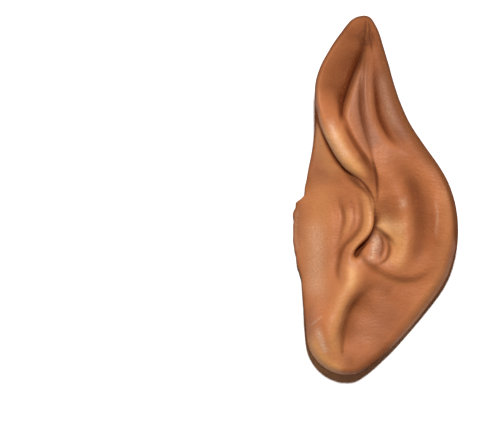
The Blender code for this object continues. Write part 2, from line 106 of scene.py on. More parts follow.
class Column(IntEnum):
    """Column of the section table, in the order of a section's fields."""

    Y = 0
    FRONT = 1
    STEP = 2
    REAR = 3
    FLANGE_EDGE = 4
    FLANGE_AT_STEP = 5
    FACE_AT_STEP = 6
    FACE_AT_REAR = 7


@dataclass(frozen=True)
class Fold:
    """Ridge or groove: its height in hundredths of the depth, the power of its fall-off, its
    half widths to the front and rear in hundredths of the width, and its line as x and y in
    hundredths of the width and length."""

    name: str
    side: Side
    height: float
    power: float
    front_width: float
    rear_width: float
    line: tuple[Point, ...]


@dataclass(frozen=True)
class Stroke:
    """Brush stroke of a tone along a line, with its half width in hundredths of the width."""

    name: str
    tone: Tone
    strength: float
    width: float
    line: tuple[Point, ...]


SECTIONS = (
    Section(100.0, 42.9, 42.9, 43.5, 20, 24, 38, 38),
    Section(99.6, 38.6, 38.6, 46.2, 20, 24, 43, 43),
    Section(98.3, 34.3, 34.3, 48.6, 20, 24, 48, 48),
    Section(95.3, 29.1, 29.1, 51.7, 20, 24, 57, 57),
    Section(90.8, 22.3, 22.3, 54.7, 20, 24, 69, 64),
    Section(85.9, 16.4, 16.4, 57.8, 20, 24, 79, 69),
    Section(80.9, 13.1, 13.1, 60.8, 62, 70, 84, 71),
    Section(75.3, 12.8, 13.0, 65.0, 63, 72, 84, 74),
    Section(69.8, 12.8, 15.2, 70.5, 60, 73, 84, 76),
    Section(63.7, 11.6, 20.7, 79.3, 48, 73, 84, 79),
    Section(57.6, 9.1, 29.5, 88.8, 33, 71, 82, 81),
    Section(52.6, 7.0, 43.5, 94.5, 20, 68, 78, 82),
    Section(46.5, 0.9, 49.8, 98.5, 12, 64, 69, 80),
    Section(39.8, 0.0, 48.3, 100.0, 11, 67, 62, 73),
    Section(33.7, 1.2, 37.4, 98.8, 11, 62, 60, 60),
    Section(27.0, 4.6, 35.6, 94.2, 14, 62, 62, 47),
    Section(20.4, 6.1, 29.5, 85.1, 21, 62, 62, 38),
    Section(13.7, 7.0, 25.8, 72.9, 34, 60, 60, 35),
    Section(8.2, 8.5, 26.4, 61.4, 42, 57, 57, 38),
    Section(4.3, 13.1, 28.9, 52.0, 46, 54, 54, 43),
    Section(1.7, 19.8, 30.7, 44.1, 47, 51, 51, 48),
    Section(0.3, 27.1, 32.5, 38.0, 46, 49, 49, 49),
    Section(0.0, 32.5, 32.5, 33.1, 43, 46, 46, 46),
)

FOLDS = (
    Fold("front roll", Side.FACE, 15, 2.2, 6.5, 8.0,
         ((17.0, 81.0), (19.0, 75.5), (22.0, 70.3), (26.6, 65.2), (32.5, 60.9), (39.5, 57.2),
          (45.2, 53.3), (48.0, 49.8))),
    Fold("pocket behind the roll", Side.FACE, -36, 1.6, 10.0, 1.9,
         ((42.5, 95.0), (39.5, 90.0), (34.6, 84.0), (30.2, 78.4), (27.5, 73.5), (26.0, 66.0))),
    Fold("crease behind the roll", Side.FACE, -9, 1.6, 2.2, 1.2,
         ((31.5, 82.0), (28.6, 76.5), (29.0, 72.2), (32.0, 68.2), (37.5, 63.6), (44.0, 59.2),
          (48.6, 55.4), (50.4, 51.5), (50.4, 43.0))),
    Fold("first ridge of the horn", Side.FACE, 4, 3.6, 5.2, 5.0,
         ((42.6, 94.0), (39.0, 85.0), (35.6, 77.5), (35.0, 72.0), (38.6, 66.4), (44.5, 61.0))),
    Fold("first groove of the horn", Side.FACE, -4.5, 2.0, 1.2, 1.3,
         ((44.0, 92.5), (42.0, 85.4), (40.6, 79.0), (40.6, 73.4), (43.2, 67.6), (47.0, 61.8),
          (49.6, 56.5))),
    Fold("second ridge of the horn", Side.FACE, 3, 3.0, 3.4, 3.0,
         ((46.5, 91.0), (46.0, 85.0), (45.6, 78.4), (46.4, 72.5), (50.6, 67.0), (57.4, 62.0))),
    Fold("second groove of the horn", Side.FACE, -12, 1.7, 1.8, 3.0,
         ((48.4, 94.0), (49.4, 86.0), (50.0, 78.4), (51.8, 72.0), (56.8, 66.8), (62.6, 63.8),
          (71.0, 61.0))),
    Fold("slope inside the rear rim", Side.FACE, 4, 3.0, 6.0, 6.0,
         ((50.5, 93.1), (55.5, 83.6), (60.0, 75.3), (66.6, 68.7), (76.3, 62.6), (86.6, 57.0))),
    Fold("groove inside the rear rim", Side.FACE, -18, 2.0, 5.4, 6.2,
         ((56.0, 60.0), (65.5, 57.0), (72.0, 52.5), (75.3, 47.0), (76.2, 41.0), (75.0, 35.0),
          (70.5, 29.5))),
    Fold("antihelix", Side.FACE, 7, 2.4, 7.0, 5.5,
         ((56.5, 56.4), (64.0, 49.8), (66.6, 43.1), (66.0, 36.5), (61.0, 30.9), (52.0, 29.0))),
    Fold("ridge beside the rear rim", Side.FACE, 2.5, 2.0, 3.0, 2.5,
         ((79.8, 55.3), (84.4, 49.8), (85.8, 43.1), (84.4, 35.9), (79.0, 30.4))),
    Fold("rear rim", Side.FACE, 4.5, 2.0, 5.0, 5.5,
         ((83.0, 59.8), (90.9, 52.6), (93.9, 44.8), (92.7, 37.6), (86.6, 30.4), (74.5, 23.7))),
    Fold("upper hollow", Side.FACE, -5, 2.0, 4.5, 5.0,
         ((52.6, 56.4), (55.0, 50.3), (55.6, 44.2))),
    Fold("concha", Side.FACE, -20, 2.6, 13.0, 10.0,
         ((55.0, 49.8), (55.6, 43.7), (55.0, 37.6), (47.7, 31.5))),
    Fold("swelling across the concha", Side.FACE, 4, 2.4, 7.5, 7.5,
         ((48.0, 40.8), (58.7, 40.9), (72.0, 42.5))),
    Fold("canal", Side.FACE, -8, 2.6, 5.0, 3.6,
         ((52.6, 39.8), (50.2, 35.9), (46.5, 32.0))),
    Fold("notch under the tragus", Side.FACE, -16, 2.0, 1.7, 1.2,
         ((47.5, 38.0), (43.0, 35.8), (39.0, 33.6), (37.2, 31.6))),
    Fold("curve under the antihelix", Side.FACE, -7.5, 1.8, 6.0, 2.2,
         ((34.0, 32.5), (43.0, 29.9), (51.0, 28.2), (58.5, 26.4), (66.0, 25.6), (74.5, 26.0),
          (82.5, 28.2), (90.0, 32.5))),
    Fold("ridge from tragus to lobe", Side.BOTH, 8, 2.4, 9.0, 7.5,
         ((33.1, 37.5), (35.5, 31.0), (34.5, 26.5), (28.5, 20.5), (23.8, 13.0), (23.5, 7.0),
          (27.3, 1.5))),
    Fold("valley of the lobe", Side.BOTH, -16, 1.6, 2.8, 13.0,
         ((57.0, 25.0), (44.5, 22.5), (36.5, 18.5), (32.0, 13.0), (30.2, 8.0), (32.6, -0.7))),
    Fold("front of the lobe", Side.BOTH, 6, 2.0, 5.5, 5.5,
         ((13.5, 22.0), (17.0, 13.0), (22.0, 3.0))),
    Fold("back of the lobe", Side.BOTH, 4, 2.0, 10.0, 10.0,
         ((66.0, 20.9), (53.8, 13.7), (44.1, 6.5))),
    Fold("crease before the tragus", Side.CHEEK, -5, 1.8, 2.6, 1.7,
         ((24.0, 51.5), (28.0, 48.2), (30.4, 44.6), (29.8, 40.6), (27.2, 37.0), (25.6, 33.0))),
    Fold("crease inside the tragus", Side.CHEEK, -10, 1.8, 3.6, 2.6,
         ((33.5, 54.5), (38.8, 49.5), (41.4, 44.8), (40.4, 40.8), (35.6, 38.0), (30.8, 35.8),
          (27.6, 32.4), (26.6, 28.6), (28.6, 24.8), (33.5, 22.5))),
    Fold("curl of the flange", Side.CHEEK, -6, 2.0, 5.0, 3.0,
         ((2.7, 51.5), (1.5, 41.5), (2.7, 31.5))),
)

# Line that a fine fold and a brush stroke share
LOBE_SCRATCH = ((10.5, 13.8), (14.0, 15.2), (18.0, 16.8))

# Fine lines that are too small for the plain solid
FINE_FOLDS = (
    Fold("ring above the canal", Side.FACE, -4.0, 2.0, 0.7, 0.7,
         ((48.5, 41.0), (52.0, 40.6), (56.0, 39.2), (60.0, 37.0), (64.0, 33.5))),
    Fold("ring round the canal", Side.FACE, -2.6, 2.0, 0.7, 0.7,
         ((53.5, 40.6), (57.2, 37.6), (58.2, 35.0), (56.0, 32.2), (50.0, 30.4))),
    Fold("ring inside the canal", Side.FACE, -2.2, 2.0, 0.6, 0.6,
         ((50.8, 40.6), (54.0, 38.2), (54.6, 35.6), (52.6, 33.0))),
    Fold("plug of the canal", Side.FACE, 5.0, 2.4, 3.0, 3.0,
         ((51.4, 40.0), (52.0, 36.2), (49.0, 31.8))),
    Fold("fold of the plug", Side.FACE, -2.0, 2.0, 0.5, 0.5,
         ((50.2, 39.2), (50.6, 36.0), (47.6, 32.4))),
    Fold("ridge of the tip", Side.FACE, 4.0, 2.0, 1.6, 1.6,
         ((45.0, 99.0), (44.4, 95.0), (43.6, 91.0))),
    Fold("front line of the tip", Side.FACE, -2.2, 2.0, 0.6, 0.6,
         ((44.0, 98.5), (42.6, 94.5), (40.4, 90.0))),
    Fold("rear line of the tip", Side.FACE, -1.6, 2.0, 0.6, 0.6,
         ((45.4, 98.5), (46.4, 94.0), (47.6, 89.0))),
    Fold("line behind the end of the roll", Side.FACE, -2.5, 2.0, 0.8, 0.8,
         ((45.5, 61.0), (49.0, 56.8), (50.4, 52.5), (50.6, 47.5))),
    Fold("lip before the roll", Side.CHEEK, 6.0, 2.0, 1.2, 1.2,
         ((30.0, 56.8), (36.0, 54.9), (41.5, 52.8), (45.6, 50.4))),
    Fold("line before the crease", Side.CHEEK, -1.6, 2.0, 1.0, 1.0,
         ((21.5, 49.5), (24.5, 46.0), (25.8, 42.5), (25.0, 39.0), (22.5, 35.5))),
    Fold("line inside the crease", Side.CHEEK, -2.2, 2.0, 0.9, 1.0,
         ((33.2, 50.0), (36.0, 46.5), (37.0, 43.0), (34.6, 40.2), (31.0, 38.0))),
    Fold("line of the second ridge", Side.FACE, 2.0, 2.0, 0.9, 0.9,
         ((45.4, 92.0), (43.6, 86.0), (43.0, 80.0), (43.8, 74.0), (46.7, 68.5))),
    Fold("scratch across the lobe", Side.CHEEK, 1.6, 2.0, 0.6, 0.6, LOBE_SCRATCH),
)

# Ragged edge of the flange: level and half width in hundredths of the length, and how far it is
# cut in, in hundredths of the width
EDGE_BITES = (
    (50.0, 1.5, 2.2),
    (48.0, 0.6, -0.7),
    (46.6, 0.5, 0.5),
    (44.9, 0.8, -0.5),
    (42.8, 0.6, 0.3),
    (37.6, 0.9, -0.3),
    (33.4, 0.8, 0.4),
    (30.4, 1.0, -0.4),
    (26.8, 1.1, 0.3),
)

# Brush strokes: golden strokes are the lighter tone together with painted highlight, rose strokes
# the latex's own tone, darker strokes its darker tone together with painted shade, and highlight
# strokes painted highlights
STROKES = (
    Stroke("roll", Tone.GOLD, 1.0, 4.2,
           ((23.5, 69.0), (25.0, 66.0), (28.0, 62.6), (32.0, 60.0), (37.0, 57.6), (43.5, 55.0))),
    Stroke("front of the roll", Tone.GOLD, 0.5, 1.6,
           ((17.5, 69.5), (19.6, 66.5), (24.6, 61.4), (31.0, 57.8), (38.5, 55.0))),
    # Painted shadow of the roll on the flange below it
    Stroke("line under the roll", Tone.BROWN, 1.0, 0.7,
           ((13.4, 74.0), (14.6, 69.8), (20.0, 63.7), (28.8, 57.6), (36.0, 54.8), (42.5, 52.6))),
    Stroke("bowl of the concha", Tone.GOLD, 1.0, 6.0,
           ((51.0, 43.0), (58.0, 41.0), (68.0, 40.0))),
    Stroke("foot of the concha", Tone.GOLD, 0.65, 5.0,
           ((62.5, 39.5), (64.0, 34.0), (60.0, 30.0))),
    Stroke("curve under the antihelix", Tone.GOLD, 0.2, 2.2,
           ((50.0, 28.4), (58.0, 26.6), (66.0, 25.8), (75.0, 26.2))),
    Stroke("rear of the lobe", Tone.GOLD, 0.25, 4.5,
           ((93.0, 33.0), (87.0, 25.5), (77.0, 18.0), (66.0, 11.5))),
    Stroke("ridge from tragus to lobe", Tone.GOLD, 0.55, 5.0,
           ((34.5, 33.5), (35.5, 27.5), (31.5, 22.5), (26.5, 16.0), (24.5, 8.5), (27.0, 3.5))),
    Stroke("rear rim", Tone.GOLD, 0.2, 3.6,
           ((88.0, 53.0), (91.0, 49.0), (92.4, 43.0), (91.0, 36.0), (84.0, 29.0))),
    Stroke("below the tragus", Tone.GOLD, 0.5, 2.4,
           ((34.0, 30.5), (35.4, 27.0), (33.5, 24.0))),
    Stroke("tragus", Tone.GOLD, 0.45, 3.5,
           ((40.0, 52.0), (45.5, 47.5), (46.0, 42.0), (40.0, 37.5), (34.5, 34.0))),
    Stroke("between the creases", Tone.GOLD, 0.35, 1.8,
           ((32.6, 47.0), (33.4, 42.5), (31.4, 38.6))),
    Stroke("flange beside the roll", Tone.GOLD, 0.4, 4.0,
           ((14.0, 72.0), (15.5, 64.0), (20.0, 59.0), (27.0, 55.0))),
    Stroke("cheek flange", Tone.GOLD, 0.3, 9.0,
           ((14.0, 57.0), (16.0, 48.0), (14.0, 38.0), (14.0, 28.0), (16.0, 18.0))),
    Stroke("front edge of the lobe", Tone.GOLD, 0.9, 4.6,
           ((10.0, 12.0), (14.0, 6.5), (21.0, 2.5), (31.0, 1.5))),
    Stroke("slope of the horn", Tone.ROSE, 0.9, 6.5,
           ((42.0, 90.0), (41.0, 80.0), (41.0, 72.0), (46.0, 65.5), (50.0, 62.5))),
    Stroke("slope inside the rear rim", Tone.ROSE, 0.9, 5.5,
           ((52.5, 88.0), (56.0, 78.0), (62.0, 69.5), (70.0, 64.0))),
    Stroke("back of the lobe", Tone.ROSE, 0.4, 10.0,
           ((62.0, 21.0), (52.0, 14.0), (43.0, 8.0))),
    Stroke("plug of the canal", Tone.ROSE, 0.9, 3.0,
           ((51.6, 39.0), (52.4, 36.0), (49.8, 33.0))),
    Stroke("front line of the tip", Tone.BROWN, 0.5, 0.7,
           ((44.0, 99.0), (42.6, 94.5), (40.4, 90.0))),
    Stroke("rear line of the tip", Tone.BROWN, 0.4, 0.6,
           ((45.4, 99.0), (46.4, 94.0), (47.6, 89.0))),
    Stroke("top of the slope", Tone.BROWN, 0.7, 4.0,
           ((45.0, 95.5), (43.0, 91.0), (40.6, 83.0))),
    Stroke("tip of the horn", Tone.BROWN, 0.6, 10.0,
           ((46.0, 104.0), (43.0, 98.0), (41.0, 91.0))),
    Stroke("front of the horn", Tone.BROWN, 0.5, 10.0,
           ((38.0, 99.0), (28.0, 92.0), (21.0, 84.0), (22.0, 76.0))),
    # Painted shade in the pocket behind the roll
    Stroke("pocket behind the roll", Tone.BROWN, 0.4, 5.0,
           ((38.0, 92.0), (34.0, 85.0), (29.0, 79.0), (27.0, 73.0))),
    Stroke("rear of the horn", Tone.BROWN, 1.0, 6.2,
           ((50.0, 99.0), (56.5, 88.0), (61.5, 79.0), (70.0, 69.8), (82.0, 61.5), (92.0, 55.0))),
    Stroke("edge of the rear rim", Tone.BROWN, 1.0, 4.2,
           ((86.0, 60.0), (94.2, 52.8), (98.0, 47.0), (100.0, 41.0), (99.8, 36.0))),
    # Painted shade in the creases of the tragus and along its border
    Stroke("crease inside the tragus", Tone.BROWN, 0.5, 1.4,
           ((38.0, 51.0), (41.2, 46.5), (41.2, 42.0), (37.0, 38.6), (31.4, 36.0), (27.8, 32.4),
            (26.8, 28.6), (28.8, 24.8))),
    Stroke("crease before the tragus", Tone.BROWN, 0.5, 1.0,
           ((27.0, 48.8), (30.0, 45.6), (30.6, 42.6), (28.6, 38.8), (26.6, 34.0))),
    Stroke("line inside the crease", Tone.BROWN, 0.35, 0.8,
           ((33.5, 49.5), (36.6, 46.5), (37.4, 43.0), (34.6, 39.8))),
    Stroke("border of the tragus", Tone.BROWN, 0.5, 0.8,
           ((29.0, 56.2), (36.0, 53.8), (42.0, 51.6), (46.0, 49.0), (48.6, 45.5), (49.4, 42.0))),
    # Painted shade in the rings of the canal
    Stroke("ring above the canal", Tone.BROWN, 0.6, 0.8,
           ((49.5, 40.9), (52.5, 40.4), (56.5, 38.9), (60.5, 36.8))),
    Stroke("ring round the canal", Tone.BROWN, 0.7, 1.0,
           ((53.5, 40.4), (57.2, 37.6), (58.2, 35.0), (56.0, 32.2), (50.0, 30.4))),
    Stroke("end of the roll", Tone.BROWN, 0.6, 3.0,
           ((39.0, 61.5), (45.0, 57.5), (48.5, 52.0))),
    # Painted shade in the first groove of the horn and at its end
    Stroke("first groove of the horn", Tone.BROWN, 0.4, 0.8,
           ((40.4, 85.0), (39.8, 78.0), (40.2, 72.5), (43.0, 67.0), (47.0, 61.0), (49.8, 55.0),
            (50.4, 48.0))),
    Stroke("ring inside the canal", Tone.BROWN, 0.8, 1.0,
           ((51.4, 40.4), (54.2, 38.2), (54.6, 35.6), (51.6, 31.8))),
    Stroke("end of the first groove", Tone.BROWN, 0.6, 0.8,
           ((46.0, 61.0), (49.2, 56.5), (50.4, 52.5), (50.6, 47.0))),
    # Painted shade in the groove inside the rear rim
    Stroke("groove inside the rear rim", Tone.BROWN, 0.62, 4.5,
           ((62.0, 57.0), (71.0, 53.0), (75.5, 47.0), (76.5, 41.0), (75.5, 35.0), (71.0, 29.5))),
    Stroke("root of the antihelix", Tone.BROWN, 0.25, 6.0,
           ((55.0, 60.0), (61.0, 58.0), (66.0, 55.0))),
    Stroke("top of the concha", Tone.BROWN, 0.25, 4.0,
           ((52.5, 49.0), (55.0, 46.5), (58.0, 45.0))),
    Stroke("foot of the canal", Tone.BROWN, 0.6, 2.0,
           ((40.6, 35.2), (42.4, 32.6), (47.0, 30.6), (53.0, 29.6))),
    # Painted shade under the antihelix and in the valley of the lobe
    Stroke("under the antihelix", Tone.BROWN, 0.42, 5.0,
           ((40.0, 26.5), (50.0, 24.8), (62.0, 23.6))),
    Stroke("valley of the lobe", Tone.BROWN, 0.45, 7.0,
           ((50.0, 22.0), (40.5, 20.0), (35.0, 15.5), (32.5, 8.0))),
    Stroke("foot of the valley", Tone.BROWN, 0.5, 1.2,
           ((31.0, 12.0), (29.6, 8.5), (29.6, 5.5))),
    Stroke("foot of the lobe", Tone.BROWN, 0.5, 6.0,
           ((33.0, 8.0), (36.0, 2.5), (50.0, 5.0), (62.0, 10.5))),
    # Painted highlights
    Stroke("roll in the light", Tone.PALE, 0.8, 2.2,
           ((21.5, 71.5), (23.4, 67.8), (25.8, 64.6), (29.5, 61.8), (33.5, 59.8))),
    Stroke("rear of the horn in the light", Tone.PALE, 0.3, 2.6,
           ((52.8, 84.0), (54.4, 78.0), (58.0, 72.0), (63.0, 67.5))),
    Stroke("front of the lobe", Tone.PALE, 1.0, 1.8,
           ((14.0, 13.5), (17.0, 9.5), (20.0, 6.0))),
    Stroke("cheek in the light", Tone.PALE, 0.6, 5.0,
           ((12.5, 44.0), (14.0, 36.0), (13.5, 28.0), (14.0, 21.0))),
    Stroke("plug in the light", Tone.PALE, 1.0, 2.0,
           ((50.6, 39.4), (50.4, 36.4), (48.0, 33.4), (47.2, 32.0))),
    Stroke("swelling of the bowl in the light", Tone.PALE, 0.4, 4.0,
           ((54.0, 43.0), (60.0, 41.4), (68.0, 40.5))),
    Stroke("bowl in the light", Tone.PALE, 0.7, 2.2,
           ((66.0, 49.0), (66.6, 46.6))),
    Stroke("edge of the flange in the light", Tone.PALE, 0.4, 1.4,
           ((3.0, 47.0), (1.6, 43.0), (1.4, 38.0), (2.8, 34.0))),
    Stroke("rear edge of the lobe in the light", Tone.PALE, 0.5, 0.8,
           ((96.2, 33.0), (92.4, 27.0), (82.8, 20.3), (70.6, 13.1), (58.6, 7.1), (49.0, 3.6))),
    Stroke("scratch across the lobe", Tone.PALE, 0.5, 0.6, LOBE_SCRATCH),
    Stroke("rim in the light", Tone.PALE, 0.4, 0.9,
           ((85.0, 50.0), (86.6, 44.0), (85.6, 38.0))),
)


def smooth(value: Array) -> Array:
    """Ease a value from 0 to 1.

    Args:
        value: Numbers that are cut off at 0 and 1.

    Returns:
        The eased numbers.
    """
    value = np.clip(value, 0.0, 1.0)
    return value * value * (3.0 - 2.0 * value)


def span(value: Array, marks: tuple[float, ...]) -> Array:
    """Weigh a stretch that rises between the first two marks and falls between the last two.

    Args:
        value: Places along the ear.
        marks: Four places in the same unit.

    Returns:
        Weights from 0 to 1.
    """
    rise = smooth((value - marks[0]) / (marks[1] - marks[0]))
    fall = smooth((marks[3] - value) / (marks[3] - marks[2]))
    return rise * fall


def spline(points: Array, count: int) -> Array:
    """Draw a smooth line through points.

    Args:
        points: Points that the line goes through.
        count: Number of points wanted on the line.

    Returns:
        The points of the line.
    """
    points = np.asarray(points, float)
    ends = (2.0 * points[:1] - points[1:2], points, 2.0 * points[-1:] - points[-2:-1])
    points = np.vstack(ends)
    place = np.linspace(0.0, len(points) - 3, count)
    index = np.minimum(place.astype(int), len(points) - 4)
    part = (place - index)[:, None]
    a, b, c, d = (points[index + step] for step in range(4))
    square = part * part
    return 0.5 * (2.0 * b + (c - a) * part + (2.0 * a - 5.0 * b + 4.0 * c - d) * square
                  + (3.0 * b - a - 3.0 * c + d) * square * part)


def measure_piece(start: Array, run: Array, x: Array, y: Array) -> tuple[Array, ...]:
    """Measure points against a straight piece of a line, or against many pieces at once.

    Args:
        start: x and y of its start, with a column of each for many.
        run: x and y of the way from its start to its end.
        x: Where the points lie along X.
        y: Where the points lie along Y.

    Returns:
        Distance to the piece, distance across it (plus to the rear) and share along it.
    """
    square = np.maximum(run[0] ** 2 + run[1] ** 2, TINY ** 2)
    dx, dy = x - start[0], y - start[1]
    share = np.clip((dx * run[0] + dy * run[1]) / square, 0.0, 1.0)
    away = np.hypot(dx - share * run[0], dy - share * run[1])
    return away, (dy * run[0] - dx * run[1]) / np.sqrt(square), share


def measure_line(line: Array, x: Array, y: Array, ease: float = 0.15,
                 least_ease: float = 0.0001) -> tuple[Array, ...]:
    """Measure points against a line, eased where two pieces of it are about as near.

    Args:
        line: Points of the line.
        x: Where the points lie along X.
        y: Where the points lie along Y.
        ease: Share of the distance over which pieces are mixed.
        least_ease: Distance over which they are mixed at the line itself.

    Returns:
        Distance to the line, distance across it (plus to the rear) and share along it.
    """
    start, end = line[:-1].T[:, :, None], line[1:].T[:, :, None]
    away, across, share = measure_piece(start, end - start, x.ravel(), y.ravel())
    best = away.min(axis=0)
    weight = np.exp((best - away) / (ease * best + least_ease))
    weight /= weight.sum(axis=0)
    place = (np.arange(len(away))[:, None] + share) / len(away)
    results = (best, (weight * across).sum(axis=0), (weight * place).sum(axis=0))
    return tuple(result.reshape(x.shape) for result in results)


def nearest(line: Array, x: Array, y: Array) -> tuple[Array, Array]:
    """Measure points against the one nearest piece of a line.

    Args:
        line: Points of the line.
        x: Where the points lie along X.
        y: Where the points lie along Y.

    Returns:
        Distance to the line and distance across it (plus to the rear).
    """
    best = np.full(x.shape, np.inf)
    across = np.zeros(x.shape)
    for start, end in zip(line[:-1], line[1:]):
        away, beside, _ = measure_piece(start, end - start, x, y)
        closer = away < best
        best = np.where(closer, away, best)
        across = np.where(closer, beside, across)
    return best, across


def turned(away: Array, width: float) -> Array:
    """Give the drop of a rounded edge.

    Args:
        away: Distance to the edge.
        width: Width over which the edge turns down.

    Returns:
        Drop from 0 to 1 as the distance goes from the width to 0.
    """
    part = 1.0 - np.clip(away / width, 0.0, 1.0)
    return 1.0 - np.sqrt(np.maximum(1.0 - part * part, 0.0))


def blurred(table: Array, reach: float) -> Array:
    """Blur a table of values with a bell-shaped brush.

    Args:
        table: Values on a regular grid.
        reach: Half width of the brush in cells.

    Returns:
        The blurred table.
    """
    size = int(3.0 * reach) + 1
    brush = np.exp(-0.5 * (np.arange(-size, size + 1) / reach) ** 2)
    brush /= brush.sum()
    for axis in (0, 1):
        pads = [(size, size) if axis == side else (0, 0) for side in (0, 1)]
        padded = np.pad(table, pads, mode="edge")
        table = np.apply_along_axis(np.convolve, axis, padded, brush, mode="valid")
    return table


def points_of(mesh: bpy.types.Mesh) -> Array:
    """Read the points of a mesh.

    Args:
        mesh: The mesh.

    Returns:
        x, y and z, a row for each point.
    """
    points = np.empty(3 * len(mesh.vertices), np.float32)
    mesh.vertices.foreach_get("co", points)
    return points.reshape(-1, 3).astype(float)


def select_only(*pieces: bpy.types.Object) -> None:
    """Select pieces and nothing else, the first one as the active one.

    Args:
        pieces: The pieces, or none.
    """
    bpy.ops.object.select_all(action="DESELECT")
    for piece in pieces:
        piece.select_set(True)
    if pieces:
        bpy.context.view_layer.objects.active = pieces[0]


def select_open_edge() -> None:
    """Select the edges of the mesh in edit mode that have one face only, and nothing else."""
    bpy.ops.mesh.select_all(action="DESELECT")
    bpy.ops.mesh.select_non_manifold(extend=False, use_wire=False, use_multi_face=False,
                                     use_non_contiguous=False, use_verts=False)


